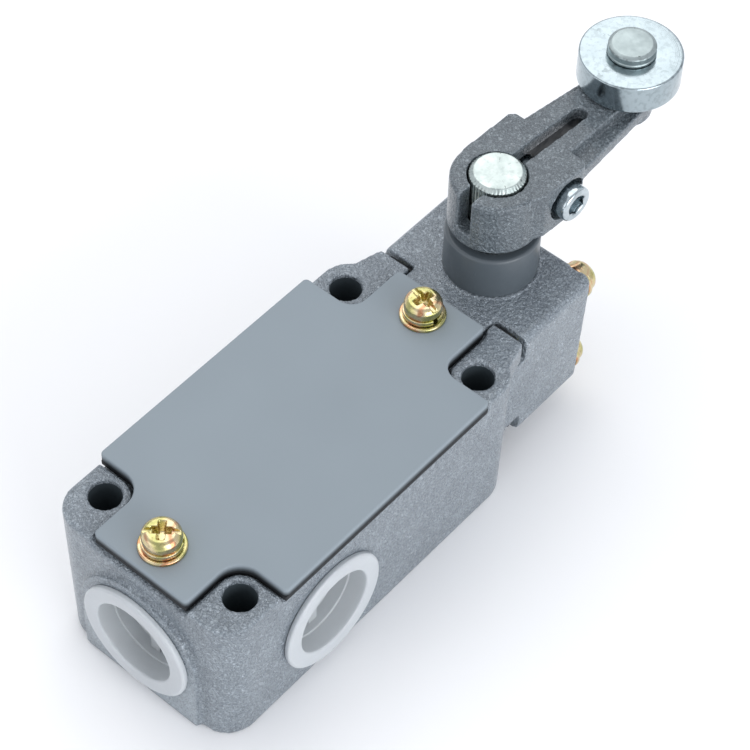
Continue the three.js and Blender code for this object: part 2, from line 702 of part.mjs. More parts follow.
function headSolid() {
  const w = HEAD_HALF_X;
  const r = HEAD_EDGE_R;
  const section = roundedRect(-w, w, HEAD_Z_LO, HEAD_Z_HI, r);
  const geometry = new THREE.ExtrudeGeometry(section, {
    depth: HEAD_Y_HI - HEAD_Y_LO,
    bevelEnabled: false,
    curveSegments: 4,
  });
  geometry.rotateX(Math.PI / 2);
  geometry.translate(0, HEAD_Y_HI, 0);
  const block = toSolid(geometry);
  const plan = roundedRect(-w - 1, w + 1, HEAD_Y_LO - 10, HEAD_Y_HI, HEAD_PLAN_R);
  const planCorners = slab(plan, 0, HEAD_Z_HI + 1, 5);
  const leaned = block.intersect(planCorners).warp((point) => {
    if (point[1] > AXIS_Y) {
      point[1] += HEAD_LEAN * (point[2] - (HEAD_Z_LO + HEAD_Z_HI) / 2);
    }
  });
  const tongue = box(
    -TONGUE_HALF_X, TONGUE_HALF_X, TONGUE_Y_LO, HEAD_Y_LO + 2, TONGUE_Z_LO, HEAD_Z_HI);
  const boss = turned([
    [0, HEAD_Z_HI - 3],
    [BOSS_R + BOSS_FOOT_FLARE, HEAD_Z_HI - 3],
    [BOSS_R + BOSS_FOOT_FLARE, HEAD_Z_HI + BOSS_FOOT_FLARE],
    [BOSS_R, HEAD_Z_HI + 3 * BOSS_FOOT_FLARE],
    [BOSS_R, BOSS_TOP_Z - BOSS_EDGE],
    [BOSS_R - BOSS_EDGE, BOSS_TOP_Z],
    [0, BOSS_TOP_Z],
  ], SEG_FINE).translate([0, AXIS_Y, 0]);
  const cheekIn = NECK_LOW_HALF_X + LOOSE;
  const [cheekLo, cheekHi] = CHEEK_Z;
  const cheeks = joined(
    box(-w, -cheekIn, CHEEK_Y_LO, HEAD_Y_LO + 2, cheekLo, cheekHi),
    box(cheekIn, w, CHEEK_Y_LO, HEAD_Y_LO + 2, cheekLo, cheekHi),
  );
  const cavityX = HEAD_CAVITY_HALF_X;
  const [cavityLo, cavityHi] = HEAD_CAVITY_Z;
  let solid = cut(
    joined(leaned, cheeks, tongue, boss),
    box(-cavityX, cavityX, HEAD_Y_LO - 1, HEAD_CAVITY_Y_HI, cavityLo, TONGUE_Z_LO - 1),
    box(-cavityX, cavityX, HEAD_Y_LO + 2, HEAD_CAVITY_Y_HI, TONGUE_Z_LO - 2, cavityHi),
    rod('z', BOSS_BORE_R, cavityHi - 1, BOSS_TOP_Z + 1, [0, AXIS_Y]),
    rod('z', FOOT_BORE_R, FOOT_BORE_Z, cavityLo + 1, [0, AXIS_Y]),
  );
  for (const x of [-HEAD_SCREW_X, HEAD_SCREW_X]) {
    for (const z of HEAD_SCREW_Z) {
      const seatY = headSeatY(z);
      solid = cut(
        solid,
        rod('y', CLEAR_R, HEAD_Y_LO - 5, seatY + 1, [x, z], SEG_TAP),
        rod('y', HEAD_SCREW_SEAT_R, seatY, seatY + 2, [x, z], SEG_MID),
      );
    }
  }
  return solid;
}

function headGasketSolid() {
  const y0 = NECK_Y + 0.2;
  const y1 = HEAD_Y_LO - 0.2;
  let solid = box(-NECK_LOW_HALF_X, NECK_LOW_HALF_X, y0, y1, HEAD_Z_LO + LOOSE, HEAD_Z_HI - 1);
  solid = cut(
    solid,
    tongueRoom(y0 - 1, y1 + 1),
    rod('y', GUIDE_FLANGE_R + 0.2, y0 - 1, y1 + 1, [0, PLUNGER_Z]),
  );
  for (const x of [-HEAD_SCREW_X, HEAD_SCREW_X]) {
    for (const z of HEAD_SCREW_Z) {
      solid = cut(solid, rod('y', CLEAR_R, y0 - 1, y1 + 1, [x, z], SEG_TAP));
    }
  }
  return solid;
}

function addHeadScrews(parent) {
  const [headR, headH] = HEAD_SCREW_HEAD;
  let count = 0;
  for (const z of HEAD_SCREW_Z) {
    for (const x of [-HEAD_SCREW_X, HEAD_SCREW_X]) {
      count += 1;
      const split = springWasher(WASHER_R_IN, SPRING_WASHER_R, SPRING_WASHER_T);
      const washer = place(parent, `head_washer_${count}`, split, yellowZinc());
      washer.position.set(x, headSeatY(z) + STACK_GAP, z);
      washer.rotation.x = -Math.PI / 2;
      const seatY = headSeatY(z) + SPRING_WASHER_T + 2 * STACK_GAP + 0.1;
      const fixing = panScrew(headR, headH, seatY - HEAD_SCREW_TIP_Y);
      const screw = place(parent, `head_screw_${count}`, fixing, yellowZinc());
      screw.position.set(x, seatY, z);
      screw.rotation.x = -Math.PI / 2;
    }
  }
}

// ---------------------------------------------------------------- shaft and cam

function shaftSolid() {
  return turned([
    [0, SHAFT_FOOT_Z],
    [JOURNAL_R - 0.4, SHAFT_FOOT_Z],
    [JOURNAL_R, SHAFT_FOOT_Z + 0.4],
    [JOURNAL_R, SHAFT_STEP_Z],
    [SHAFT_R, SHAFT_STEP_Z],
    [SHAFT_R, SHAFT_TOP_Z - 0.9],
    [SHAFT_R - 0.9, SHAFT_TOP_Z],
    [0, SHAFT_TOP_Z],
  ]);
}

function camSolid() {
  const [z0, z1] = CAM_Z;
  const lobes = rod('z', CAM_R, z0, z1, [0, 0]).intersect(box(-10, 10, -CAM_FLAT, -2, z0 - 1, z1 + 1));
  const collar = rod('z', CAM_COLLAR_R, z0, z1, [0, 0]);
  return cut(joined(lobes, collar), rod('z', JOURNAL_R + 0.3, z0 - 1, z1 + 1, [0, 0]));
}

// ---------------------------------------------------------------- lever

function taperedArm([rootLo, rootHi], tipR, z0, z1) {
  const shape = new THREE.Shape();
  shape.moveTo(rootLo, BLOCK_Y_HI - 4);
  shape.lineTo(rootHi, BLOCK_Y_HI - 4);
  shape.lineTo(rootHi, BLOCK_Y_HI);
  shape.lineTo(tipR, ARM_LENGTH);
  shape.absarc(0, ARM_LENGTH, tipR, 0, Math.PI, false);
  shape.lineTo(rootLo, BLOCK_Y_HI);
  shape.lineTo(rootLo, BLOCK_Y_HI - 4);
  return slab(shape, z0, z1, 10);
}

function leverSolid() {
  const hub = turned([
    [0, HUB_Z[0]],
    [HUB_R - 0.5, HUB_Z[0]],
    [HUB_R, HUB_Z[0] + 0.5],
    [HUB_R, HUB_Z[1] - 0.5],
    [HUB_R - 0.5, HUB_Z[1]],
    [0, HUB_Z[1]],
  ], SEG_FINE);
  const [plain, screwSide] = BLOCK_HALF_X;
  const blockShape = polygon([
    [-HUB_R, 0],
    [HUB_R, 0],
    [screwSide, 2.5],
    [screwSide, BLOCK_Y_HI - 1],
    [screwSide - 1, BLOCK_Y_HI],
    [-plain + 1, BLOCK_Y_HI],
    [-plain, BLOCK_Y_HI - 1],
  ]);
  const block = slab(blockShape, BLOCK_Z_LO, HUB_Z[1]);
  const [flangeLo, flangeHi] = ARM_FLANGE_Z;
  const body = joined(
    hub,
    block,
    taperedArm(ARM_ROOT_X, ARM_TIP_R, flangeLo, flangeHi),
    taperedArm(RIB_ROOT_X, RIB_TIP_R, flangeLo, HUB_Z[1]),
    box(-SLOT_WALL_HALF_X, SLOT_WALL_HALF_X, BLOCK_Y_HI - 2, SLOT_WALL_Y_HI, SLOT_WALL_Z, flangeHi),
    rod('z', TIP_BOSS_R, TIP_BOSS_Z, flangeHi, [0, ARM_LENGTH]),
  );
  const clampBoreEnd = -CLAMP_SHANK_LENGTH / 2 - 0.4;
  const slotTop = HUB_Z[1] + 1;
  const slotBottom = HUB_Z[0] - 1;
  return cut(
    body,
    rod('z', HUB_BORE_R, slotBottom, slotTop, [0, 0]),
    box(-SLOT_HALF_X, SLOT_HALF_X, 2, SLOT_END_Y, slotBottom, slotTop),
    rod('z', SLOT_HALF_X, slotBottom, slotTop, [0, SLOT_END_Y], SEG_SMALL),
    box(-SLIT_HALF_X, SLIT_HALF_X, -HUB_R - 1, -2, SLIT_Z_LO, slotTop),
    rod('z', PIN_HOLE_R, slotBottom, slotTop, [0, ARM_LENGTH]),
    rod('x', CLAMP_SHANK_R + 0.4, clampBoreEnd, CLAMP_SEAT_X + 1, [CLAMP_Y, CLAMP_Z], SEG_SMALL),
    rod('x', CLAMP_RECESS_R, CLAMP_SEAT_X, screwSide + 1, [CLAMP_Y, CLAMP_Z]),
  );
}

// Socket-head screw along +Z, seat at z = 0.
function socketScrew(headR, headH, shankLength) {
  const edge = 0.4;
  const body = turned([
    [0, -shankLength],
    [CLAMP_SHANK_R - edge, -shankLength],
    [CLAMP_SHANK_R, -shankLength + edge],
    [CLAMP_SHANK_R, 0],
    [headR, 0],
    [headR, headH - edge],
    [headR - edge, headH],
    [0, headH],
  ], SEG_MID);
  return cut(body, rod('z', SOCKET_R, headH - SOCKET_DEPTH, headH + 1, [0, 0], 6));
}

function rollerSolid() {
  const c = ROLLER_EDGE;
  const [z0, z1] = ROLLER_Z;
  return turned([
    [ROLLER_BORE_R, z0],
    [ROLLER_R - c, z0],
    [ROLLER_R, z0 + c],
    [ROLLER_R, z1 - c],
    [ROLLER_R - c, z1],
    [ROLLER_BORE_R, z1],
  ], SEG_FINE);
}

// Headed pin: its head holds the roller down, its foot is riveted under the arm.
function pinSolid() {
  const top = ROLLER_Z[1] + LOOSE;
  const under = TIP_BOSS_Z - LOOSE;
  const foot = under - PIN_RIVET_H;
  return turned([
    [0, foot],
    [PIN_RIVET_R - 0.7, foot],
    [PIN_RIVET_R, foot + 0.7],
    [PIN_RIVET_R, under],
    [PIN_R, under],
    [PIN_R, top],
    [PIN_HEAD_R, top],
    [PIN_HEAD_R, top + PIN_HEAD_H - 0.5],
    [PIN_HEAD_R - 0.5, top + PIN_HEAD_H],
    [0, top + PIN_HEAD_H],
  ]);
}

function addLever(parent) {
  const lever = new THREE.Group();
  lever.position.set(0, AXIS_Y, 0);
  lever.rotation.z = THREE.MathUtils.degToRad(LEVER_SET_DEG);
  parent.add(lever);
  place(lever, 'lever_arm', leverSolid(), paintedCasting());
  const screw = socketScrew(CLAMP_HEAD_R, CLAMP_HEAD_H, CLAMP_SHANK_LENGTH);
  const clamp = place(lever, 'clamp_screw', screw, brightZinc());
  clamp.position.set(CLAMP_SEAT_X + LOOSE, CLAMP_Y, CLAMP_Z);
  clamp.rotation.y = Math.PI / 2;
  place(lever, 'roller_pin', pinSolid(), brightZinc(), [0, ARM_LENGTH, 0]);
  place(lever, 'roller', rollerSolid(), brightZinc(), [0, ARM_LENGTH, 0]);
}

// ---------------------------------------------------------------- plunger and contacts

function plungerSolid() {
  const profile = [
    [0, PLUNGER_Y[0]],
    [PLUNGER_R, PLUNGER_Y[0]],
    [PLUNGER_R, PLUNGER_Y[1] - PLUNGER_DISC_T],
    [PLUNGER_DISC_R, PLUNGER_Y[1] - PLUNGER_DISC_T],
    [PLUNGER_DISC_R, PLUNGER_Y[1] - 0.4],
    [PLUNGER_DISC_R - 0.4, PLUNGER_Y[1]],
    [0, PLUNGER_Y[1]],
  ];
  return turned(profile, SEG_SMALL);
}

function guideSolid() {
  const flangeLo = CAVITY_Y_HI - 1.2;
  const flangeHi = CAVITY_Y_HI - LOOSE;
  return turned([
    [GUIDE_BORE_R, flangeLo],
    [GUIDE_FLANGE_R, flangeLo],
    [GUIDE_FLANGE_R, flangeHi],
    [GUIDE_SEAT_R - LOOSE, flangeHi],
    [GUIDE_SEAT_R - LOOSE, GUIDE_Y_HI],
    [GUIDE_BORE_R, GUIDE_Y_HI],
  ], SEG_SMALL);
}

function blockBaseSolid() {
  const b = BLOCK_BASE;
  let solid = cut(
    box(-b.halfX, b.halfX, b.yLo, b.yHi, b.zLo, b.zHi),
    box(-TRAY_HALF_X, TRAY_HALF_X, b.yLo + 2, b.yHi - 1.4, TRAY_Z_LO, b.zHi + 1),
    rod('y', PLUNGER_R + 0.5, b.yHi - 3, b.yHi + 1, [0, PLUNGER_Z], SEG_SMALL),
  );
  const tapR = TERMINAL_SCREW.shankR + LOOSE;
  const tapZ = b.zHi - TERMINAL_SCREW.length;
  for (const side of [-1, 1]) {
    for (const y of TERMINAL_Y) {
      solid = cut(solid, rod('z', tapR, tapZ, b.zHi + 1, [side * TERMINAL_X, y], SEG_TAP));
    }
  }
  for (const [x, y] of BLOCK_SCREW_XY) {
    const bore = rod('z', BLOCK_SCREW.shankR + LOOSE, b.zLo - 1, b.zHi + 1, [x, y], SEG_TAP);
    solid = cut(solid, bore);
  }
  return solid;
}

function blockLidSolid() {
  const b = BLOCK_BASE;
  const under = STRIP_Z[1] + LOOSE;
  return box(-LID_HALF_X, LID_HALF_X, b.yLo + 0.4, b.yHi - 0.4, under, under + LID_T);
}

function carrierSolid() {
  const c = CARRIER;
  const halfZ = CARRIER_WINDOW_HALF_Z;
  let solid = box(-c.halfX, c.halfX, c.yLo, c.yHi, PLUNGER_Z - c.halfZ, PLUNGER_Z + c.halfZ);
  for (const y of BRIDGE_Y) {
    const window = box(-c.halfX - 1, c.halfX + 1, y - 0.8, y + 1.2, PLUNGER_Z - halfZ, PLUNGER_Z + halfZ);
    solid = cut(solid, window);
  }
  const springSeatR = RETURN_SPRING.radius + 0.5;
  return cut(solid, rod('y', springSeatR, c.yLo - 1, c.yLo + 1.4, [0, PLUNGER_Z], SEG_SMALL));
}

// Bridge with a rounded contact tip at each end, along X.
function bridgeSolid() {
  const tipHalfT = BRIDGE_HALF_T + 0.2;
  return joined(
    box(-BRIDGE_HALF_X, BRIDGE_HALF_X, -BRIDGE_HALF_T, BRIDGE_HALF_T, -BRIDGE_HALF_Z, BRIDGE_HALF_Z),
    rod('y', TIP_R, -tipHalfT, tipHalfT, [-TIP_X, 0], 8),
    rod('y', TIP_R, -tipHalfT, tipHalfT, [TIP_X, 0], 8),
  );
}

// Fixed contact on the +X side: a strip on the base's wall with a leg down into the tray.
function fixedContactSolid(terminalY, leg) {
  const y0 = Math.min(terminalY - TERMINAL_HALF_Y, leg[0]);
  const y1 = Math.max(terminalY + TERMINAL_HALF_Y, leg[1]);
  const [x0, x1] = STRIP_X;
  const strip = box(x0, x1, y0, y1, STRIP_Z[0], STRIP_Z[1]);
  const legPart = box(x0, LEG_X_HI, leg[0], leg[1], LEG_Z_LO, STRIP_Z[1]);
  const holeR = TERMINAL_SCREW.shankR + 0.45;
  const hole = rod('z', holeR, STRIP_Z[0] - 1, STRIP_Z[1] + 1, [TERMINAL_X, terminalY], SEG_TAP);
  return cut(joined(strip, legPart), hole);
}

function addPlungerAndContacts(parent) {
  const works = new THREE.Group();
  works.position.set(0, 0, PLUNGER_Z);
  works.rotation.x = -Math.PI / 2;
  parent.add(works);
  place(works, 'plunger', plungerSolid(), hardenedSteel());
  place(works, 'plunger_guide', guideSolid(), sinteredBronze());
  const { radius, wireR, yLo, yHi, turns } = RETURN_SPRING;
  place(works, 'return_spring', coil(radius, wireR, yLo, yHi, turns), springSteel());

  place(parent, 'contact_block_base', blockBaseSolid(), blackPhenolic());
  place(parent, 'contact_block_lid', blockLidSolid(), blackPhenolic());
  place(parent, 'contact_carrier', carrierSolid(), whitePolyamide());
  BRIDGE_Y.forEach((y, i) => {
    place(parent, `contact_bridge_${i + 1}`, bridgeSolid(), brass(), [0, y, PLUNGER_Z]);
  });
  let count = 0;
  TERMINAL_Y.forEach((y, i) => {
    for (const side of [1, -1]) {
      count += 1;
      const strip = fixedContactSolid(side * y, sideLeg(side, i));
      const contact = place(parent, `fixed_contact_${count}`, strip, brass());
      contact.rotation.z = side > 0 ? 0 : Math.PI;
      const seat = [side * TERMINAL_X, y, STRIP_Z[1] + LOOSE];
      place(parent, `terminal_screw_${count}`, slottedScrew(TERMINAL_SCREW), yellowZinc(), seat);
    }
  });
  BLOCK_SCREW_XY.forEach(([x, y], i) => {
    const seat = BLOCK_BASE.zHi + LOOSE;
    const screw = slottedScrew({ ...BLOCK_SCREW, length: seat - FLOOR_Z + BLOCK_SCREW_DEPTH });
    place(parent, `block_screw_${i + 1}`, screw, yellowZinc(), [x, y, seat]);
  });
}

// Leg position seen from a contact that is turned half a turn for the -X side.
function sideLeg(side, i) {
  const [y0, y1] = LEG_Y[i];
  return side > 0 ? [y0, y1] : [-y1, -y0];
}

// ---------------------------------------------------------------- assembly

place(switchGroup, 'housing', finishedHousing(), paintedCasting());
place(switchGroup, 'cover_gasket', gasketSolid(), blackRubber());
place(switchGroup, 'cover', coverSolid(), coverPaint());
addCoverScrews(switchGroup);

const endPlug = place(switchGroup, 'end_plug', plugSolid(), naturalPolyethylene());
endPlug.position.set(0, END_PAD_Y - 0.1, END_ENTRY_Z);
endPlug.rotation.x = Math.PI / 2;
const sidePlug = place(switchGroup, 'side_plug', plugSolid(), naturalPolyethylene());
sidePlug.position.set(SIDE_SEAT_X + 0.1, SIDE_ENTRY_Y, SIDE_ENTRY_Z);
sidePlug.rotation.y = Math.PI / 2;

place(switchGroup, 'head', headSolid(), paintedCasting());
place(switchGroup, 'head_gasket', headGasketSolid(), blackRubber());
addHeadScrews(switchGroup);

const axisGroup = new THREE.Group();
axisGroup.position.set(0, AXIS_Y, 0);
switchGroup.add(axisGroup);
place(axisGroup, 'shaft', shaftSolid(), brightZinc());
const sleeveR = BOSS_BORE_R - SLEEVE_GAP;
place(axisGroup, 'shaft_bushing', ring(BEARING_R, sleeveR, ...BUSHING_Z), sinteredBronze());
place(axisGroup, 'shaft_seal', ring(BEARING_R, sleeveR, ...SEAL_Z), blackRubber());
const retainer = springWasher(JOURNAL_R + LOOSE, RETAINING_RING_R, 0.8);
place(axisGroup, 'retaining_ring', retainer, springSteel(), [0, 0, RETAINING_RING_Z]);
place(axisGroup, 'cam', camSolid(), hardenedSteel());
const { radius, wireR, zLo, zHi, turns } = LEVER_SPRING;
place(axisGroup, 'lever_spring', coil(radius, wireR, zLo, zHi, turns, 10), springSteel());

addLever(switchGroup);
addPlungerAndContacts(switchGroup);

const earthWasherZ = FLOOR_Z + EARTH_BOSS_H + LOOSE;
const earthScrewZ = earthWasherZ + FLAT_WASHER_T + LOOSE;
const earthWasher = ring(EARTH_SCREW.shankR + LOOSE, EARTH_WASHER_R, 0, FLAT_WASHER_T, SEG_SMALL);
place(switchGroup, 'earth_washer', earthWasher, yellowZinc(), [...EARTH_XY, earthWasherZ]);
place(switchGroup, 'earth_screw', slottedScrew(EARTH_SCREW), yellowZinc(), [...EARTH_XY, earthScrewZ]);

export default switchGroup;
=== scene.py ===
"""Looks of a roller-lever limit switch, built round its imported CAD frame.

Meshes are made in millimetres in the row frame and scaled to metres at the end.
+Z is up, out of the cover. +Y runs from the conduit end to the lever head.
"""

import math

import bmesh
import bpy
from mathutils import Matrix, Vector


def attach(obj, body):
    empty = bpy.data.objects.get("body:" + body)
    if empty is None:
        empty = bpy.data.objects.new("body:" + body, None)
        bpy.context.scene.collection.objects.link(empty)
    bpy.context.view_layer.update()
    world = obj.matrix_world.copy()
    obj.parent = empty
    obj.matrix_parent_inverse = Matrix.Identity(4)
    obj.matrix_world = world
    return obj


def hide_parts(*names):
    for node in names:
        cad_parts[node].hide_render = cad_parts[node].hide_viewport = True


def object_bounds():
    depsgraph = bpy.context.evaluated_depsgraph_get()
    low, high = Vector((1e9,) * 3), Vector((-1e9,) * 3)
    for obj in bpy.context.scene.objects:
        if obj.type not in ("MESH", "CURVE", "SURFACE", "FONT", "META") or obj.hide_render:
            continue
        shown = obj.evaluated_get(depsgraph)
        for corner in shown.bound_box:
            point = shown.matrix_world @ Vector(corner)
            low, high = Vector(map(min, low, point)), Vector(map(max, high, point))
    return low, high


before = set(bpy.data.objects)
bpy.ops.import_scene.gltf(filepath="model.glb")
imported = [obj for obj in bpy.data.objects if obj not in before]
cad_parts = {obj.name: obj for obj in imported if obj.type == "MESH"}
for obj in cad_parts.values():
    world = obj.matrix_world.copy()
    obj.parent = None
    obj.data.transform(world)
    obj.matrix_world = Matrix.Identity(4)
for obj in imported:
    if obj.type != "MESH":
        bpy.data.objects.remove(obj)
cad_lo, cad_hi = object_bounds()

MM = 0.001

# ---------------------------------------------------------------- driving dimensions, mm

AXIS_Y = 51.7  # lever shaft
ARM_LENGTH = 33.55
LEVER_SET = math.radians(-4.2)  # angle at which the lever is clamped on its shaft
FIX_XY = (15, 30)  # fixing bores, from the middle
BORE_SHADE_R = 3.1  # takes in the wall of a fixing bore
BORE_SHADE_DEPTH = 0.8  # below the corner pad, where the bore's painted shade begins
EAR_Z = 31.6  # top of the corner pads
COVER_Z = 31.6
COVER_T = 1.7
COVER_SCREW_Y = (-32, 33)
COVER_HOLE_R = 2.3
HEAD_SEAT_Y = (59.12, 60.24)  # spot faces of the lower and upper head screws
HEAD_SCREW_X = 12.2
HEAD_SCREW_Z = (8.9, 27.6)
END_PLUG_Y = -39.2
END_PLUG_Z = 14.2
ENTRY_R = 9.6
END_PAD_R = 13  # arched pad round the end entry
END_PAD_Y = (-39.14, -37.6)  # face and hidden foot of that pad
SIDE_PLUG_X = 19.95
SIDE_PLUG_Y = -13.6
SIDE_PLUG_Z = 14.4
BOSS_R = 8.5
BOSS_BORE_R = 6.3
BOSS_FOOT_Z = 31.5
BOSS_TOP_Z = 40.8
SHAFT_R = 5
SHAFT_STEP_Z = 28
SHAFT_TOP_Z = 54.9
SHAFT_FOOT_Z = 8
SHAFT_FOOT_R = 4
KNURL_Z = 41.5
KNURL_TEETH = 48
KNURL_DEPTH = 0.12
SLOT_REACH_X = 1.75  # takes in the walls of the lever's slot, which get painted shade
SLOT_Y = (5.5, 22.6)
SLOT_Z = (46.0, 51.4)
CLAMP_SEAT_X = 7.4
CLAMP_Y = 8.3
CLAMP_Z = 48.7
CLAMP_SHANK_R = 2
CLAMP_SHANK = 13.7
CLAMP_HEAD_R = 3.4
CLAMP_HEAD_H = 3.9
CLAMP_HEX_R = 2.05  # corners of the hexagon socket
CLAMP_HEX_FLOOR = 1.6
ROLLER_Z = (54.4, 60.3)
ROLLER_R = 9.25
ROLLER_BORE_R = 3.4
PIN_R = 3
PIN_FOOT_R = 3.9
PIN_HEAD_R = 4.35
PIN_FOOT_Z = 46.2  # underside of the arm's thick end, less a gap

CAST_VOXEL = 0.42  # of the housing's remesh
HEAD_VOXEL = 0.3
ARM_VOXEL = 0.24
SCREW_VOXEL = 0.12
SMOOTH_PASSES = 8
SHARP_ANGLE = math.radians(38)
FLAT_HALF_ANGLE = math.radians(89.5)  # half the angle at a corner that is no corner


# ---------------------------------------------------------------- meshes

def mesh_from(name, vertices, faces):
    mesh = bpy.data.meshes.new(name)
    mesh.from_pydata([tuple(v) for v in vertices], [], faces)
    mesh.validate()
    obj = bpy.data.objects.new(name, mesh)
    bpy.context.scene.collection.objects.link(obj)
    return obj


def outward(obj):
    """Turns every face outward."""
    bm = bmesh.new()
    bm.from_mesh(obj.data)
    bmesh.ops.recalc_face_normals(bm, faces=bm.faces)
    bm.to_mesh(obj.data)
    bm.free()
    return obj


def fillet(corners, steps=5):
    """Closed outline from (a, b) or (a, b, radius) corners, with each radius as an arc."""
    outline = []
    count = len(corners)
    for i, corner in enumerate(corners):
        here = Vector(corner[:2])
        radius = corner[2] if len(corner) > 2 else 0
        back = Vector(corners[i - 1][:2]) - here
        ahead = Vector(corners[(i + 1) % count][:2]) - here
        half = back.angle(ahead) / 2
        if radius <= 0 or half > FLAT_HALF_ANGLE:
            outline.append(here)
            continue
        reach = min(radius / math.tan(half), 0.499 * back.length, 0.499 * ahead.length)
        radius = reach * math.tan(half)
        start = here + back.normalized() * reach
        centre = here + (back.normalized() + ahead.normalized()).normalized() * (radius / math.sin(half))
        first = (start - centre).to_2d()
        end = (here + ahead.normalized() * reach) - centre
        turn = first.angle_signed(end)
        for step in range(steps + 1):
            angle = -turn * step / steps
            outline.append(centre + Matrix.Rotation(angle, 2) @ first)
    return outline


def lathe(name, profile, segments=72, steps=4, wobble=None):
    """Solid of revolution about Z from a closed (radius, height[, fillet]) outline.

    wobble(angle, radius, height) may return another radius.
    """
    outline = fillet(profile, steps)
    vertices = []
    faces = []
    columns = []
    for point in outline:
        radius, height = max(point[0], 0), point[1]
        if radius < 1e-6:
            columns.append([len(vertices)] * segments)
            vertices.append((0, 0, height))
            continue
        columns.append(list(range(len(vertices), len(vertices) + segments)))
        for k in range(segments):
            angle = 2 * math.pi * k / segments
            r = wobble(angle, radius, height) if wobble else radius
            vertices.append((r * math.cos(angle), r * math.sin(angle), height))
    for low, high in zip(columns, columns[1:] + columns[:1]):
        for k in range(segments):
            n = (k + 1) % segments
            corners = [low[k], low[n], high[n], high[k]]
            unique = list(dict.fromkeys(corners))
            if len(unique) > 2:
                faces.append(unique)
    return outward(mesh_from(name, vertices, faces))


def loft(name, rings):
    """Closed solid through rings of points, with flat ends."""
    vertices = [p for ring in rings for p in ring]
    count = len(rings[0])
    faces = [list(range(count)), list(range(len(vertices) - count, len(vertices)))]
    for level in range(len(rings) - 1):
        base = level * count
        for k in range(count):
            n = (k + 1) % count
            faces.append([base + k, base + n, base + count + n, base + count + k])
    return outward(mesh_from(name, vertices, faces))


def offset(outline, distance):
    """A closed outline moved outward by a small distance; it runs anticlockwise."""
    moved = []
    count = len(outline)
    for i, point in enumerate(outline):
        before = (point - outline[i - 1]).normalized()
        after = (outline[(i + 1) % count] - point).normalized()
        normal = Vector((before.y + after.y, -before.x - after.x))
        lean = max(0.3, normal.length / 2)
        moved.append(point + normal.normalized() * (distance / lean))
    return moved


def slab(name, corners, z0, z1, steps=6):
    outline = fillet(corners, steps)
    return loft(name, [[(p.x, p.y, z) for p in outline] for z in (z0, z1)])


def box(name, x0, x1, y0, y1, z0, z1):
    return slab(name, [(x0, y0), (x1, y0), (x1, y1), (x0, y1)], z0, z1)


def moved(obj, matrix):
    obj.data.transform(matrix)
    return obj


def copy_of(node):
    """A free copy of a CAD node's mesh, in millimetres."""
    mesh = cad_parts[node].data.copy()
    mesh.transform(Matrix.Scale(1 / MM, 4))
    mesh.materials.clear()
    obj = bpy.data.objects.new(node + "_fine", mesh)
    bpy.context.scene.collection.objects.link(obj)
    bm = bmesh.new()
    bm.from_mesh(mesh)
    bmesh.ops.remove_doubles(bm, verts=bm.verts, dist=1e-3)
    bm.to_mesh(mesh)
    bm.free()
    return obj


def apply_modifiers(obj):
    depsgraph = bpy.context.evaluated_depsgraph_get()
    mesh = bpy.data.meshes.new_from_object(obj.evaluated_get(depsgraph))
    obj.modifiers.clear()
    old = obj.data
    obj.data = mesh
    bpy.data.meshes.remove(old)
    return obj


def combine(obj, operation, *others):
    for other in others:
        modifier = obj.modifiers.new("combine", "BOOLEAN")
        modifier.operation = operation
        modifier.object = other
        modifier.solver = "MANIFOLD"
        apply_modifiers(obj)
        bpy.data.objects.remove(other)
    return obj


def cut(obj, *others):
    return combine(obj, "DIFFERENCE", *others)


def join(obj, *others):
    return combine(obj, "UNION", *others)


def soften(obj, voxel, passes=SMOOTH_PASSES):
    """Rounds every edge as casting or plating does, on an even mesh."""
    remesh = obj.modifiers.new("even", "REMESH")
    remesh.mode = "VOXEL"
    remesh.voxel_size = voxel
    smooth = obj.modifiers.new("round", "SMOOTH")
    smooth.factor = 0.5
    smooth.iterations = passes
    return apply_modifiers(obj)


def thin_out(obj, degrees=0.6):
    """Merges faces where the surface is flat."""
    planar = obj.modifiers.new("planar", "DECIMATE")
    planar.decimate_type = "DISSOLVE"
    planar.angle_limit = math.radians(degrees)
    apply_modifiers(obj)
    bm = bmesh.new()
    bm.from_mesh(obj.data)
    bmesh.ops.triangulate(bm, faces=[f for f in bm.faces if len(f.verts) > 4])
    bm.to_mesh(obj.data)
    bm.free()
    return obj


def finish_piece(obj, name, body, slot_name, *materials, at=None, replaces=()):
    """Scales a piece to metres, places it, gives it its materials and smooth shading, and hides the CAD
    nodes that it stands for.
    """
    obj.name = name
    obj.data.name = name
    obj.data.transform(Matrix.Scale(MM, 4))
    if at is not None:
        place = at.copy()
        place.translation *= MM
        obj.matrix_world = place
    obj.data.materials.clear()
    for material in materials:
        obj.data.materials.append(material)
    for polygon in obj.data.polygons:
        polygon.material_index = 0
    obj.data.shade_smooth()
    obj.data.set_sharp_from_angle(angle=SHARP_ANGLE)
    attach(obj, body)
    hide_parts(*replaces)
    return obj


# ---------------------------------------------------------------- materials

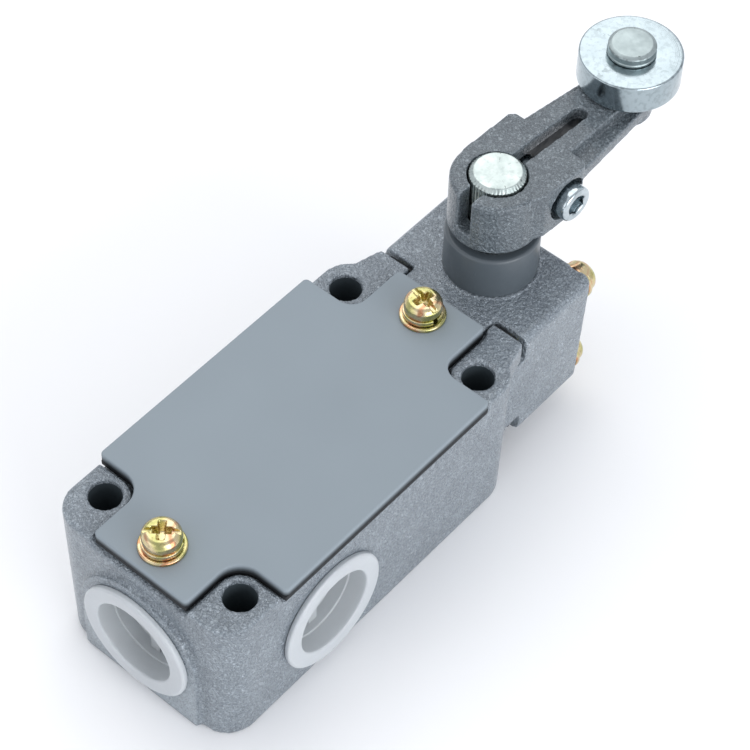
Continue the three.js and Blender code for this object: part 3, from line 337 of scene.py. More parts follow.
class Nodes:
    """A material's node tree, with a Principled shader."""

    def __init__(self, name, **constants):
        self.material = bpy.data.materials.new(name)
        self.material.use_nodes = True
        self.tree = self.material.node_tree
        self.shader = self.tree.nodes["Principled BSDF"]
        for socket, value in constants.items():
            self.shader.inputs[socket.replace("_", " ")].default_value = value
        self.place = self.add("ShaderNodeTexCoord").outputs["Object"]

    def add(self, kind, settings=None, **inputs):
        node = self.tree.nodes.new(kind)
        for key, value in (settings or {}).items():
            setattr(node, key, value)
        for socket, value in inputs.items():
            self.feed(node.inputs[socket.replace("_", " ")], value)
        return node

    def feed(self, socket, value):
        if isinstance(value, bpy.types.NodeSocket):
            self.tree.links.new(value, socket)
        else:
            socket.default_value = value

    def stretched(self, scale):
        return self.add("ShaderNodeMapping", Vector=self.place, Scale=scale).outputs["Vector"]

    def noise(self, scale, detail=3.0, roughness=0.55, distortion=0.0, vector=None):
        node = self.add(
            "ShaderNodeTexNoise",
            Vector=vector or self.place,
            Scale=scale,
            Detail=detail,
            Roughness=roughness,
            Distortion=distortion,
        )
        return node.outputs["Fac"]

    def cells(self, scale, smoothness):
        node = self.add(
            "ShaderNodeTexVoronoi",
            {"feature": "SMOOTH_F1"},
            Vector=self.place,
            Scale=scale,
            Smoothness=smoothness,
        )
        return node.outputs["Distance"]

    def math(self, operation, a, b=0.0):
        node = self.add("ShaderNodeMath", {"operation": operation})
        self.feed(node.inputs[0], a)
        self.feed(node.inputs[1], b)
        return node.outputs[0]

    def span(self, value, low, high, to_low=0.0, to_high=1.0):
        node = self.add(
            "ShaderNodeMapRange",
            Value=value,
            From_Min=low,
            From_Max=high,
            To_Min=to_low,
            To_Max=to_high,
        )
        return node.outputs["Result"]

    def mix(self, share, a, b):
        node = self.add("ShaderNodeMix", {"data_type": "RGBA"})
        self.feed(node.inputs["Factor"], share)
        self.feed(node.inputs[6], a)
        self.feed(node.inputs[7], b)
        return node.outputs[2]

    def ramp(self, value, stops):
        node = self.add("ShaderNodeValToRGB", Fac=value)
        elements = node.color_ramp.elements
        while len(elements) < len(stops):
            elements.new(0.5)
        for element, (position, colour) in zip(elements, stops):
            element.position = position
            element.color = colour
        return node.outputs["Color"]

    def edges(self, low=0.52, high=0.6):
        pointiness = self.add("ShaderNodeNewGeometry").outputs["Pointiness"]
        return self.span(pointiness, low, high)

    def bump(self, height, distance):
        node = self.add("ShaderNodeBump", Height=height, Distance=distance, Strength=1.0)
        return node.outputs["Normal"]

    def set(self, **inputs):
        for socket, value in inputs.items():
            self.feed(self.shader.inputs[socket.replace("_", " ")], value)
        return self.material


def rgb(hex_colour):
    """sRGB hex to a linear colour."""
    parts = [(hex_colour >> shift & 255) / 255 for shift in (16, 8, 0)]
    linear = [p / 12.92 if p <= 0.04045 else ((p + 0.055) / 1.055) ** 2.4 for p in parts]
    return (*linear, 1.0)


def hammer_paint(name, dark, light, grain=0.0006):
    """Hammer-finish enamel on a die casting: worm-like ripples with bright flecks."""
    n = Nodes(name, Metallic=0.35, Coat_Weight=0.4, Coat_Roughness=0.14)
    drift = n.noise(140, 2)
    ripple = n.noise(1050, 3, 0.6, 2.2)
    worms = n.math("ABSOLUTE", n.math("SUBTRACT", ripple, 0.5))
    pits = n.cells(1500, 0.5)
    grit = n.noise(3000, 2, 0.6)
    height = n.math("ADD", n.math("MULTIPLY", ripple, 0.9), n.math("MULTIPLY", pits, 0.5))
    height = n.math("ADD", height, n.math("MULTIPLY", grit, 0.06))
    shade = n.math("MULTIPLY", drift, 0.3)
    shade = n.math("ADD", shade, n.math("MULTIPLY", n.span(worms, 0.0, 0.12), 0.5))
    shade = n.math("ADD", shade, n.math("MULTIPLY", n.span(grit, 0.34, 0.66), 0.12))
    colour = n.mix(n.span(shade, 0.25, 0.8), dark, light)
    fleck = n.span(n.noise(1900, 2), 0.6, 0.68)
    colour = n.mix(n.math("MULTIPLY", fleck, 0.25), colour, rgb(0xCBD4DA))
    speck = n.span(n.noise(1700, 2, 0.6), 0.38, 0.28)
    colour = n.mix(n.math("MULTIPLY", speck, 0.25), colour, rgb(0x454E55))
    # Painted highlight on convex edges and painted shade in creases and inner corners, both from
    # pointiness.
    colour = n.mix(n.math("MULTIPLY", n.edges(), 0.5), colour, rgb(0xB4BEC5))
    colour = n.mix(n.math("MULTIPLY", n.edges(0.488, 0.44), 0.75), colour, rgb(0x262C30))
    roughness = n.span(n.math("ADD", grit, ripple), 0.7, 1.3, 0.2, 0.44)
    return n.set(Base_Color=colour, Roughness=roughness, Normal=n.bump(height, grain))


def smooth_paint(
        name, base, roughness_low, roughness_high,
        specular=0.5, edge_tone=0.45, peel_depth=0.00003, shade_band=None):
    """Satin enamel with faint orange peel, tiny nibs and lighter edges, partly wear and partly painted
    highlight.

    The last argument is a pair of heights, mm, for painted shade: none at the first, dark at the second.
    """
    n = Nodes(name, Specular_IOR_Level=specular)
    peel = n.noise(420, 2)
    nibs = n.span(n.noise(1500, 1), 0.74, 0.8)
    shade = n.mix(n.span(n.noise(60, 3), 0.3, 0.7), base, [c * 1.05 for c in base[:3]] + [1])
    # Lighter edges from pointiness: partly wear, partly painted highlight.
    colour = n.mix(n.math("MULTIPLY", n.edges(0.515, 0.56), edge_tone), shade, rgb(0xC2CBD1))
    # Painted shade: the colour darkens from the first height towards the second.
    if shade_band:
        z = n.add("ShaderNodeSeparateXYZ", Vector=n.place).outputs["Z"]
        shade_share = n.span(z, shade_band[0] * MM, shade_band[1] * MM)
        colour = n.mix(n.math("MULTIPLY", shade_share, 0.85), colour, rgb(0x23282C))
    height = n.math("ADD", n.math("MULTIPLY", peel, 0.5), n.math("MULTIPLY", nibs, 0.25))
    roughness = n.span(n.noise(240, 4), 0.35, 0.65, roughness_low, roughness_high)
    return n.set(Base_Color=colour, Roughness=roughness, Normal=n.bump(height, peel_depth))


def yellow_zinc(name):
    """Yellow passivation: a thin film that runs from green through gold to pink."""
    n = Nodes(name, Metallic=1.0)
    film = n.noise(150, 2, 0.5, 0.8)
    colour = n.ramp(film, [
        (0.30, rgb(0x8F9A5A)),
        (0.42, rgb(0xC9BF86)),
        (0.50, rgb(0xD9C9A2)),
        (0.57, rgb(0xC98F6C)),
        (0.64, rgb(0xBFB074)),
        (0.74, rgb(0x8C9C6E)),
    ])
    stain = n.span(n.noise(1200, 3), 0.56, 0.68)
    colour = n.mix(n.math("MULTIPLY", stain, 0.35), colour, rgb(0x5C5238))
    roughness = n.span(n.noise(900, 3), 0.3, 0.7, 0.16, 0.34)
    return n.set(Base_Color=colour, Roughness=roughness, Normal=n.bump(n.noise(1600, 3), 0.00003))


def turned_zinc(name, light, dark, ring_pitch=3500, roughness_low=0.12, roughness_high=0.26, edge_tone=0.55):
    """Bright zinc on turned steel: fine rings, cloudy film, dark chips along the edges."""
    n = Nodes(name, Metallic=1.0)
    flat = n.add("ShaderNodeVectorMath", {"operation": "MULTIPLY"})
    n.feed(flat.inputs[0], n.place)
    flat.inputs[1].default_value = (1, 1, 0)
    radius = n.add("ShaderNodeVectorMath", {"operation": "LENGTH"})
    n.feed(radius.inputs[0], flat.outputs[0])
    along = n.add("ShaderNodeCombineXYZ", X=radius.outputs["Value"])
    rings = n.noise(ring_pitch, 2, vector=along.outputs[0])
    cloud = n.noise(300, 4, 0.65)
    chips = n.math("MULTIPLY", n.edges(0.505, 0.535), n.span(n.noise(1100, 3), 0.5, 0.58))
    colour = n.mix(n.span(cloud, 0.3, 0.72), light, dark)
    colour = n.mix(n.math("MULTIPLY", chips, edge_tone), colour, rgb(0x4C5254))
    roughness = n.span(cloud, 0.3, 0.7, roughness_low, roughness_high)
    height = n.math("ADD", rings, n.math("MULTIPLY", n.noise(1800, 3), 0.5))
    return n.set(Base_Color=colour, Roughness=roughness, Normal=n.bump(height, 0.000012))


def rubber(name):
    n = Nodes(name, Specular_IOR_Level=0.35)
    colour = n.mix(n.noise(700, 4), rgb(0x17191B), rgb(0x2C2F32))
    roughness = n.span(n.noise(1500, 3), 0.3, 0.7, 0.6, 0.85)
    return n.set(Base_Color=colour, Roughness=roughness, Normal=n.bump(n.noise(2200, 4), 0.00004))


def polyethylene(name, base, transmission):
    """Natural low-density polyethylene: milky, waxy, a little cloudy."""
    scatter = 0.35 * (1 - transmission)
    n = Nodes(name, IOR=1.5, Transmission_Weight=transmission, Subsurface_Weight=scatter)
    n.shader.inputs["Subsurface Radius"].default_value = (1.0, 1.0, 1.0)
    n.shader.inputs["Subsurface Scale"].default_value = 0.0015
    cloud = n.noise(300, 3)
    colour = n.mix(cloud, base, [c * 0.93 for c in base[:3]] + [1])
    roughness = n.span(n.noise(800, 3), 0.3, 0.7, 0.28, 0.42)
    return n.set(Base_Color=colour, Roughness=roughness, Normal=n.bump(n.noise(500, 3), 0.00004))


def moulded(name, dark, light, roughness=0.5):
    n = Nodes(name)
    colour = n.mix(n.noise(400, 4), dark, light)
    rough = n.span(n.noise(900, 3), 0.3, 0.7, roughness - 0.08, roughness + 0.1)
    return n.set(Base_Color=colour, Roughness=rough, Normal=n.bump(n.noise(2600, 3), 0.00002))


def plain_metal(name, dark, light, roughness=0.35):
    """Drawn, stamped or ground metal with fine streaks."""
    n = Nodes(name, Metallic=1.0)
    streaks = n.noise(500, 4, vector=n.stretched((8, 1, 1)))
    colour = n.mix(streaks, dark, light)
    rough = n.span(streaks, 0.3, 0.7, roughness - 0.1, roughness + 0.12)
    return n.set(Base_Color=colour, Roughness=rough, Normal=n.bump(streaks, 0.00001))


CASTING = hammer_paint("casting_hammer_paint", rgb(0x6B747D), rgb(0xA8B2BA))
ARM_PAINT = hammer_paint("arm_hammer_paint", rgb(0x4B535A), rgb(0x828C92), grain=0.0004)
BOSS_PAINT = smooth_paint("boss_smooth_paint", rgb(0x4E565C), 0.3, 0.42, edge_tone=0.0, peel_depth=0.0001)
# Painted shade for the walls of the lever's slot.
SLOT_SHADE = smooth_paint("slot_painted_shade", rgb(0x2C3338), 0.4, 0.6, specular=0.3, peel_depth=0.0003)
# Painted shade for the inner walls of the fixing bores.
BORE_SHADE = smooth_paint("bore_painted_shade", rgb(0x3F484D), 0.5, 0.65, specular=0.3)
# The cover's sides get painted shade, darker towards their lower edge.
COVER_PAINT = smooth_paint(
    "cover_satin_paint", rgb(0x8A949B), 0.55, 0.65,
    specular=0.2, edge_tone=0.0, shade_band=(COVER_Z + 1.35, COVER_Z + 0.45))
RUBBER = rubber("black_rubber")
YELLOW = yellow_zinc("yellow_zinc")
ROLLER_ZINC = turned_zinc(
    "roller_zinc", rgb(0xAFBBC0), rgb(0xA6B3B8), roughness_low=0.16, roughness_high=0.21)
SCREW_ZINC = turned_zinc(
    "screw_zinc", rgb(0xCDD6DA), rgb(0x9DA9AE), roughness_low=0.08, roughness_high=0.2)
SHAFT_ZINC = turned_zinc(
    "shaft_zinc", rgb(0xCAD3D0), rgb(0xB4C0BE), 2600, roughness_low=0.3, roughness_high=0.5, edge_tone=0.9)
PIN_ZINC = turned_zinc(
    "pin_zinc", rgb(0xABB7B8), rgb(0x9CA8A9), 2600, roughness_low=0.3, roughness_high=0.5, edge_tone=0.9)
MILKY = polyethylene("milky_polyethylene", rgb(0xD3D8DC), 0.25)
CLEAR = polyethylene("thin_polyethylene", rgb(0xE6EBEE), 0.45)
BRONZE = plain_metal("sintered_bronze", rgb(0x7E5D33), rgb(0xA8814C), 0.45)
GROUND_STEEL = plain_metal("ground_steel", rgb(0x6B6E70), rgb(0x9A9D9F), 0.3)
SPRING_STEEL = plain_metal("spring_steel", rgb(0x4B4D50), rgb(0x76797C), 0.38)
BRASS = plain_metal("contact_brass", rgb(0x9C7D35), rgb(0xCFAF62), 0.3)
PHENOLIC = moulded("black_phenolic", rgb(0x1D1916), rgb(0x2F2A26), 0.45)
POLYAMIDE = moulded("white_polyamide", rgb(0xC9C5B8), rgb(0xE4E1D8), 0.42)


# ---------------------------------------------------------------- castings

def faces_where(obj, test, index):
    for polygon in obj.data.polygons:
        if test(polygon.center):
            polygon.material_index = index


def end_pad_mesh():
    """Crisp arched pad on the conduit end, from the mounting face to over the entry."""
    face, foot = END_PAD_Y
    top = END_PLUG_Z + END_PAD_R
    arch = END_PAD_R - 0.02  # just short of a half circle, so that the two arcs don't meet
    base, base_round = 0.5, 0.3
    edge = 0.3
    outline = fillet([
        (END_PAD_R, base, base_round),
        (END_PAD_R, top, arch),
        (-END_PAD_R, top, arch),
        (-END_PAD_R, base, base_round),
    ], 24)
    rings = [
        [(p.x, y, p.y) for p in offset(outline, -inset)]
        for inset, y in ((0, foot), (0, face + edge), (0.3 * edge, face + 0.3 * edge), (edge, face))
    ]
    bore = moved(
        lathe("bore", [(0, -5), (ENTRY_R, -5), (ENTRY_R, 5), (0, 5)], 96),
        Matrix.Translation((0, face, END_PLUG_Z)) @ Matrix.Rotation(math.pi / 2, 4, "X"),
    )
    return cut(loft("end_pad", rings), bore)


def make_housing():
    body = soften(copy_of("housing"), CAST_VOXEL)
    body = join(thin_out(body), end_pad_mesh())
    piece = finish_piece(
        body, "housing_casting", "body", "hammer_paint", CASTING, BORE_SHADE, replaces=["housing"])
    bore = Vector(FIX_XY) * MM

    def in_bore(centre):
        below = centre.z < (EAR_Z - BORE_SHADE_DEPTH) * MM
        return below and (Vector((abs(centre.x), abs(centre.y))) - bore).length < BORE_SHADE_R * MM

    # The lower walls of the fixing bores get painted shade.
    faces_where(piece, in_bore, 1)
    return piece


def boss_mesh():
    return moved(
        lathe("boss", [
            (BOSS_BORE_R, BOSS_FOOT_Z - 1.5),
            (BOSS_R, BOSS_FOOT_Z - 1.5),
            (BOSS_R, BOSS_TOP_Z, 0.7),
            (BOSS_BORE_R + 0.15, BOSS_TOP_Z, 0.25),
            (BOSS_BORE_R, BOSS_TOP_Z - 0.8),
        ], segments=120, steps=6),
        Matrix.Translation((0, AXIS_Y, 0)),
    )


def make_head():
    head = soften(copy_of("head"), HEAD_VOXEL)
    reach, low, high = BOSS_R + 1.6, BOSS_FOOT_Z + 0.25, BOSS_TOP_Z + 2
    clear = moved(
        lathe("clear", [(0, low), (reach, low), (reach, high), (0, high)]),
        Matrix.Translation((0, AXIS_Y, 0)),
    )
    head = join(thin_out(cut(head, clear)), boss_mesh())
    piece = finish_piece(
        head, "head_casting", "body", "hammer_paint", CASTING, BOSS_PAINT, replaces=["head"])
    axis = Vector((0, AXIS_Y * MM))
    faces_where(
        piece,
        lambda c: c.z > (BOSS_FOOT_Z + 0.3) * MM and (c.xy - axis).length < (BOSS_R + 0.2) * MM,
        1,
    )
    return piece


def make_arm():
    arm = soften(copy_of("lever_arm"), ARM_VOXEL, 7)
    piece = finish_piece(
        arm, "lever_casting", "lever", "hammer_paint", ARM_PAINT, SLOT_SHADE, replaces=["lever_arm"])
    axis = Vector((0, AXIS_Y * MM, 0))
    unturn = Matrix.Rotation(-LEVER_SET, 4, "Z")

    def in_slot(centre):
        place = unturn @ (centre - axis)
        inside = abs(place.x) < SLOT_REACH_X * MM and SLOT_Y[0] * MM < place.y < SLOT_Y[1] * MM
        return inside and SLOT_Z[0] * MM < centre.z < SLOT_Z[1] * MM

    # The slot's walls get painted shade.
    faces_where(piece, in_slot, 1)
    return piece


# ---------------------------------------------------------------- cover and gaskets

COVER_CORNERS_RIGHT = [
    (10.3, -37.5, 0.9),
    (10.3, -25.4, 4.4),
    (20.8, -25.4, 0.9),
    (20.8, 26, 0.9),
    (9.8, 26, 3.2),
    (9.8, 38.2, 0.9),
]
ROLL_R = 0.35  # rounding of the cover's upper edge
ROLL_STEPS = 8
ROLL_SUPPORT = 0.12  # width of the flat ring that keeps the top's shading flat


def cover_corners():
    left = [(-x, y, r) for x, y, r in reversed(COVER_CORNERS_RIGHT)]
    return COVER_CORNERS_RIGHT + left


def make_cover():
    outline = fillet(cover_corners(), 8)
    top = COVER_Z + COVER_T
    levels = [(0.25, COVER_Z), (0, COVER_Z + 0.2)]
    for step in range(ROLL_STEPS + 1):
        angle = math.pi / 2 * step / ROLL_STEPS
        levels.append((ROLL_R * (1 - math.cos(angle)), top - ROLL_R * (1 - math.sin(angle))))
    levels.append((ROLL_R + ROLL_SUPPORT, top))
    cover = loft("cover", [
        [(p.x, p.y, z) for p in offset(outline, -inset)]
        for inset, z in levels
    ])
    low, high = COVER_Z - 1, top + 1
    holes = [
        moved(
            lathe("hole", [(0, low), (COVER_HOLE_R, low), (COVER_HOLE_R, high), (0, high)], 48),
            Matrix.Translation((0, y, 0)),
        )
        for y in COVER_SCREW_Y
    ]
    cover = cut(cover, *holes)
    return finish_piece(cover, "cover_plate", "body", "cover_paint", COVER_PAINT, replaces=["cover"])


def make_soft_seal(node, name):
    seal = soften(copy_of(node), 0.2, 4)
    thin_out(seal, 1.0)
    return finish_piece(seal, name, "body", "black_rubber", RUBBER, replaces=[node])


# ---------------------------------------------------------------- screws and washers

SQUARE = ((-1, -1), (1, -1), (1, 1), (-1, 1))
DRIVE_SLOT = 0.84  # width of the slot across a screw's cross recess
SPLIT_FROM, SPLIT_SPAN = 8, 344  # degrees that a split washer covers
SPLIT_RISE = 0.22
WASHER_BORE_R = 2.1
FLAT_WASHER = (4.15, 0.7)  # outer radius, thickness
SPRING_WASHER = (3.6, 1.2)
COVER_SCREW = (3.4, 2.7, 9.7)  # head radius, head height, shank
HEAD_SCREW = (3.1, 2.5, 23)
COVER_SCREW_TURNS = (38, -12)  # degrees, as left by the screwdriver
HEAD_SCREW_TURNS = (20, 65, -35, 50)
STACK_GAP = 0.05


def pan_screw_mesh(name, head_r, head_h, shank, seat_r=1.7):
    """Pan-head screw with a combined cross and slot recess, head seat at z = 0."""
    screw = lathe(name, [
        (0, -shank),
        (seat_r - 0.4, -shank, 0.2),
        (seat_r, -shank + 0.6),
        (seat_r, 0),
        (head_r, 0, 0.25),
        (head_r, head_h * 0.55, 0.6),
        (head_r * 0.82, head_h * 0.93, 1.6),
        (0, head_h),
    ], 64)
    arm, wide, low = head_r * 0.62, head_r * 0.2, head_h * 0.25
    wings = []
    for turn in (0, 1):
        wing = loft("wing", [
            [(side_a * arm * k, side_b * wide * w, z) for side_a, side_b in SQUARE]
            for z, k, w in ((low, 0.45, 0.7), (head_h + 0.6, 1.12, 1.15))
        ])
        wings.append(moved(wing, Matrix.Rotation(turn * math.pi / 2, 4, "Z")))
    half = DRIVE_SLOT / 2
    slot = box("slot", -head_r - 1, head_r + 1, -half, half, head_h * 0.66, head_h + 1)
    screw = cut(screw, *wings, slot)
    return thin_out(soften(screw, SCREW_VOXEL, 4), 1.0)


def spring_washer_mesh(name):
    """Split washer whose cut ends stand a little apart."""
    r_in = WASHER_BORE_R
    r_out, t = SPRING_WASHER
    segments = 72
    edge = 0.12
    rings = []
    for k in range(segments + 1):
        angle = math.radians(SPLIT_FROM + SPLIT_SPAN * k / segments)
        lift = SPLIT_RISE * (k / segments)
        section = fillet([
            (r_in, lift, edge),
            (r_out, lift, edge),
            (r_out, lift + t - SPLIT_RISE, edge),
            (r_in, lift + t - SPLIT_RISE, edge),
        ], 3)
        rings.append([(p.x * math.cos(angle), p.x * math.sin(angle), p.y) for p in section])
    return loft(name, rings)


def flat_washer_mesh(name):
    r_in = WASHER_BORE_R
    r_out, t = FLAT_WASHER
    return lathe(name, [
        (r_in, 0, 0.08),
        (r_out, 0, 0.12),
        (r_out, t, 0.3),
        (r_in, t, 0.08),
    ], 80)


def shared(name, mesh_source, body, at, replaces):
    """Another copy of a finished piece's mesh."""
    obj = bpy.data.objects.new(name, mesh_source.data)
    bpy.context.scene.collection.objects.link(obj)
    place = at.copy()
    place.translation *= MM
    obj.matrix_world = place
    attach(obj, body)
    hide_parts(*replaces)
    return obj


def spread(make, stem, places, slot_name, material, nodes):
    """One mesh at several places, each standing for its own CAD node."""
    first = None
    for i, (at, node) in enumerate(zip(places, nodes)):
        name = f"{stem}_{i + 1}_fine"
        if first is None:
            first = finish_piece(make(name), name, "body", slot_name, material, at=at, replaces=[node])
        else:
            shared(name, first, "body", at, [node])


def make_cover_fixings():
    flat_z = COVER_Z + COVER_T + STACK_GAP
    spring_z = flat_z + FLAT_WASHER[1] + STACK_GAP
    screw_z = spring_z + SPRING_WASHER[1]
    spots = [(Vector((0, y, 0)), math.radians(turn)) for y, turn in zip(COVER_SCREW_Y, COVER_SCREW_TURNS)]
    for stem, z, make in (
        ("cover_flat_washer", flat_z, flat_washer_mesh),
        ("cover_spring_washer", spring_z, spring_washer_mesh),
        ("cover_screw", screw_z, lambda n: pan_screw_mesh(n, *COVER_SCREW)),
    ):
        places = [
            Matrix.Translation(spot + Vector((0, 0, z))) @ Matrix.Rotation(turn, 4, "Z")
            for spot, turn in spots
        ]
        spread(make, stem, places, "yellow_zinc", YELLOW, [f"{stem}_1", f"{stem}_2"])


def make_head_fixings():
    face_out = Matrix.Rotation(-math.pi / 2, 4, "X")
    spots = [
        (x, seat_y, z)
        for z, seat_y in zip(HEAD_SCREW_Z, HEAD_SEAT_Y)
        for x in (-HEAD_SCREW_X, HEAD_SCREW_X)
    ]
    turns = [math.radians(turn) for turn in HEAD_SCREW_TURNS]
    for stem, lift, make in (
        ("head_washer", STACK_GAP, spring_washer_mesh),
        ("head_screw", SPRING_WASHER[1] + 2 * STACK_GAP, lambda n: pan_screw_mesh(n, *HEAD_SCREW)),
    ):
        places = [
            Matrix.Translation((x, y + lift, z)) @ face_out @ Matrix.Rotation(turn, 4, "Z")
            for (x, y, z), turn in zip(spots, turns)
        ]
        spread(make, stem, places, "yellow_zinc", YELLOW, [f"{stem}_{i}" for i in range(1, 5)])


# ---------------------------------------------------------------- blanking plugs

def plug_mesh(name):
    """Thin cup with a wide flange, stepped inner wall and a grip tab; mouth faces +Z."""
    cup = lathe(name, [
        (0, -8.6),
        (8.6, -8.6, 0.5),
        (9.2, -7.4, 0.4),
        (9.2, -2.2, 0.1),
        (9.35, -1.4, 0.1),
        (9.2, 0, 0.1),
        (11.45, 0, 0.15),
        (11.5, 0.8, 0.35),
        (11.1, 1.1, 0.3),
        (8.2, 1.1, 0.4),
        (8.05, -2.6, 0.15),
        (7.75, -2.7, 0.1),
        (7.7, -5.0, 0.1),
        (7.35, -5.1, 0.1),
        (7.3, -7.6, 0.4),
        (6.2, -7.75, 0.2),
        (5.9, -7.3, 0.15),
        (5.5, -7.3, 0.15),
        (5.2, -7.75, 0.2),
        (0, -7.75),
    ], 96)
    tab = box("tab", -1.0, 1.0, -7.6, -1.2, -8.2, -3.9)
    return join(cup, tab)


def make_plug(name, node, at):
    """The flange is milky; the thin cup behind it is clearer."""
    plug = finish_piece(
        plug_mesh(name), name, "body", "polyethylene", MILKY, CLEAR, at=at, replaces=[node])
    faces_where(plug, lambda c: c.z < -0.6 * MM, 1)
    return plug


# ---------------------------------------------------------------- shaft, lever screws and roller

def make_shaft():
    """Stepped shaft whose upper end is finely knurled for the lever's grip."""
    def knurl(angle, radius, height):
        if height < KNURL_Z or radius < SHAFT_R - 0.2:
            return radius
        return radius - KNURL_DEPTH * (0.5 + 0.5 * math.cos(angle * KNURL_TEETH))

    shaft = lathe("shaft", [
        (0, SHAFT_FOOT_Z),
        (SHAFT_FOOT_R, SHAFT_FOOT_Z, 0.4),
        (SHAFT_FOOT_R, SHAFT_STEP_Z),
        (SHAFT_R, SHAFT_STEP_Z, 0.2),
        (SHAFT_R, KNURL_Z - 0.1),
        (SHAFT_R, KNURL_Z + 0.3),
        (SHAFT_R, SHAFT_TOP_Z - 0.75, 0.15),
        (4.25, SHAFT_TOP_Z, 0.35),
        (0, SHAFT_TOP_Z),
    ], KNURL_TEETH * 8, 4, knurl)
    at = Matrix.Translation((0, AXIS_Y, 0))
    return finish_piece(
        shaft, "lever_shaft", "lever", "bright_zinc", SHAFT_ZINC, at=at, replaces=["shaft"])


def lever_place(x, y, z):
    """A place in the lever's own frame, whose origin is on the shaft axis."""
    return (
        Matrix.Translation((0, AXIS_Y, 0))
        @ Matrix.Rotation(LEVER_SET, 4, "Z")
        @ Matrix.Translation((x, y, z))
    )


def make_clamp_screw():
    screw = lathe("clamp", [
        (0, -CLAMP_SHANK),
        (CLAMP_SHANK_R - 0.4, -CLAMP_SHANK, 0.2),
        (CLAMP_SHANK_R, -CLAMP_SHANK + 0.5),
        (CLAMP_SHANK_R, 0),
        (CLAMP_HEAD_R, 0, 0.15),
        (CLAMP_HEAD_R, CLAMP_HEAD_H, 0.5),
        (0, CLAMP_HEAD_H),
    ], 72)
    corners = [math.radians(60 * k) for k in range(6)]
    socket = loft("socket", [
        [(CLAMP_HEX_R * math.cos(angle), CLAMP_HEX_R * math.sin(angle), z) for angle in corners]
        for z in (CLAMP_HEX_FLOOR, CLAMP_HEAD_H + 1.1)
    ])
    low, high = CLAMP_HEAD_H - 0.45, CLAMP_HEAD_H + 0.5
    rim = lathe("rim", [(0, low), (1.6, low), (2.5, high), (0, high)], 48)
    screw = soften(cut(screw, socket, rim), SCREW_VOXEL, 3)
    at = lever_place(CLAMP_SEAT_X, CLAMP_Y, CLAMP_Z) @ Matrix.Rotation(math.pi / 2, 4, "Y")
    return finish_piece(
        screw, "clamp_screw_fine", "lever", "bright_zinc", SCREW_ZINC, at=at, replaces=["clamp_screw"])


def make_roller():
    low, high = ROLLER_Z
    mid = (low + high) / 2
    half = high - mid
    roller = lathe("roller", [
        (ROLLER_BORE_R, -half, 0.3),
        (6.4, -half, 0.1),
        (ROLLER_R, -half, 0.4),
        (ROLLER_R, half, 0.4),
        (ROLLER_BORE_R, half, 0.2),
    ], 144, 6)
    at = lever_place(0, ARM_LENGTH, mid)
    return finish_piece(
        roller, "roller_fine", "roller", "bright_zinc", ROLLER_ZINC, at=at, replaces=["roller"])


def make_roller_pin():
    """Riveted pin: a domed head over the roller, and a spread foot under the arm."""
    top = ROLLER_Z[1] + 0.1
    foot = PIN_FOOT_Z
    pin = lathe("pin", [
        (0, foot - 1.7),
        (PIN_FOOT_R - 0.6, foot - 1.7, 0.5),
        (PIN_FOOT_R, foot - 0.9, 0.4),
        (PIN_FOOT_R, foot, 0.1),
        (PIN_R, foot),
        (PIN_R, top),
        (PIN_HEAD_R, top, 0.15),
        (PIN_HEAD_R, top + 0.4, 0.1),
        (PIN_HEAD_R - 0.12, top + 0.6, 0.1),
        (PIN_HEAD_R - 0.05, top + 1.75, 0.35),
        (PIN_HEAD_R - 0.75, top + 2.15, 0.5),
        (0, top + 2.25),
    ], 96, 5)
    at = lever_place(0, ARM_LENGTH, 0)
    return finish_piece(
        pin, "roller_pin_fine", "lever", "bright_zinc", PIN_ZINC, at=at, replaces=["roller_pin"])


# ---------------------------------------------------------------- inner pieces kept from CAD

KEPT = {
    RUBBER: ["shaft_seal"],
    BRONZE: ["shaft_bushing", "plunger_guide"],
    GROUND_STEEL: ["cam", "plunger"],
    SPRING_STEEL: ["retaining_ring", "lever_spring", "return_spring"],
    PHENOLIC: ["contact_block_base", "contact_block_lid"],
    POLYAMIDE: ["contact_carrier"],
    BRASS: ["contact_bridge_1", "contact_bridge_2"] + [f"fixed_contact_{i}" for i in range(1, 5)],
    YELLOW: ["earth_washer", "earth_screw", "block_screw_1", "block_screw_2"]
    + [f"terminal_screw_{i}" for i in range(1, 5)],
}


def paint_kept_nodes():
    for material, nodes in KEPT.items():
        for node in nodes:
            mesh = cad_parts[node].data
            mesh.materials.clear()
            mesh.materials.append(material)


# ---------------------------------------------------------------- scene, metres

FLOOR_HALF = 3
FLOOR_GAP = 0.00005


def make_stage():
    floor = mesh_from("floor", [(a * FLOOR_HALF, b * FLOOR_HALF, 0) for a, b in SQUARE], [[0, 1, 2, 3]])
    floor.location.z = cad_lo.z - FLOOR_GAP
    n = Nodes("pale_floor", Roughness=0.85)
    n.set(Base_Color=n.mix(n.noise(6, 2), rgb(0xF6F7F8), rgb(0xFAFAFB)))
    floor.data.materials.append(n.material)


def area_light(name, location, target, size, power, colour=(1, 1, 1)):
    data = bpy.data.lights.new(name, "AREA")
    data.shape = "RECTANGLE"
    data.size, data.size_y = size
    data.energy = power
    data.color = colour
    light = bpy.data.objects.new(name, data)
    light.location = location
    light.rotation_euler = (Vector(target) - Vector(location)).to_track_quat("-Z", "Y").to_euler()
    bpy.context.scene.collection.objects.link(light)


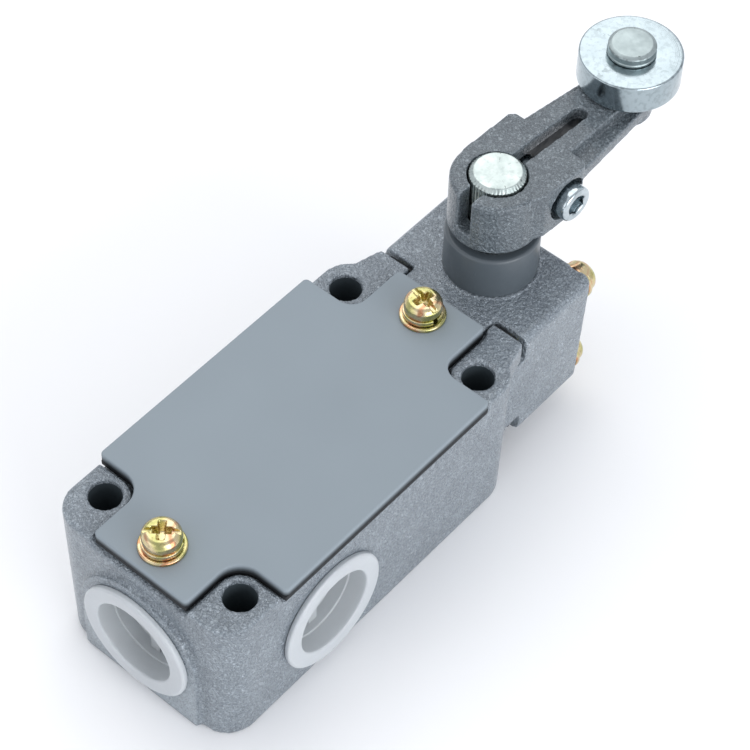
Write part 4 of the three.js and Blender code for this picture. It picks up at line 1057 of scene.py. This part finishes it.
def make_lights():
    world = bpy.data.worlds.new("soft_studio")
    bpy.context.scene.world = world
    world.use_nodes = True
    background = world.node_tree.nodes["Background"]
    background.inputs["Color"].default_value = (0.93, 0.95, 1.0, 1)
    background.inputs["Strength"].default_value = 0.8
    middle = (0, 0.01, 0.02)
    area_light("key", (-0.35, 0.25, 0.75), middle, (0.85, 0.85), 3.1, (1, 0.99, 0.97))
    area_light("fill", (0.85, -0.15, 0.28), middle, (0.7, 0.5), 4.5, (0.97, 0.98, 1))
    area_light("front", (-0.15, -0.85, 0.3), middle, (0.7, 0.4), 0.7, (0.98, 0.99, 1))


CAMERA_AT = (174.67, -194.31, 374.83)  # mm
CAMERA_RIGHT = (0.757751, 0.65215969, 0.02238651)
CAMERA_UP = (-0.52032013, 0.58315016, 0.62386125)
CAMERA_LENS = 123.65


def make_camera():
    data = bpy.data.cameras.new("camera")
    data.lens = CAMERA_LENS
    data.sensor_width = 36
    data.clip_start = 0.01
    data.clip_end = 20
    camera = bpy.data.objects.new("camera", data)
    right, up = Vector(CAMERA_RIGHT), Vector(CAMERA_UP)
    turn = Matrix((right, up, right.cross(up))).transposed().to_4x4()
    camera.matrix_world = Matrix.Translation(Vector(CAMERA_AT) * MM) @ turn
    bpy.context.scene.collection.objects.link(camera)
    bpy.context.scene.camera = camera


# ---------------------------------------------------------------- build

make_camera()
make_lights()
make_stage()
bpy.context.scene.view_settings.view_transform = "Standard"

make_housing()
make_cover()
make_soft_seal("cover_gasket", "cover_seal")
make_cover_fixings()
make_plug("end_plug_fine", "end_plug",
          Matrix.Translation((0, END_PLUG_Y, END_PLUG_Z)) @ Matrix.Rotation(math.pi / 2, 4, "X"))
make_plug("side_plug_fine", "side_plug",
          Matrix.Translation((SIDE_PLUG_X, SIDE_PLUG_Y, SIDE_PLUG_Z))
          @ Matrix.Rotation(math.pi / 2, 4, "Z") @ Matrix.Rotation(math.pi / 2, 4, "X"))
make_head()
make_soft_seal("head_gasket", "head_seal")
make_head_fixings()
make_arm()
make_shaft()
make_clamp_screw()
make_roller_pin()
make_roller()
paint_kept_nodes()
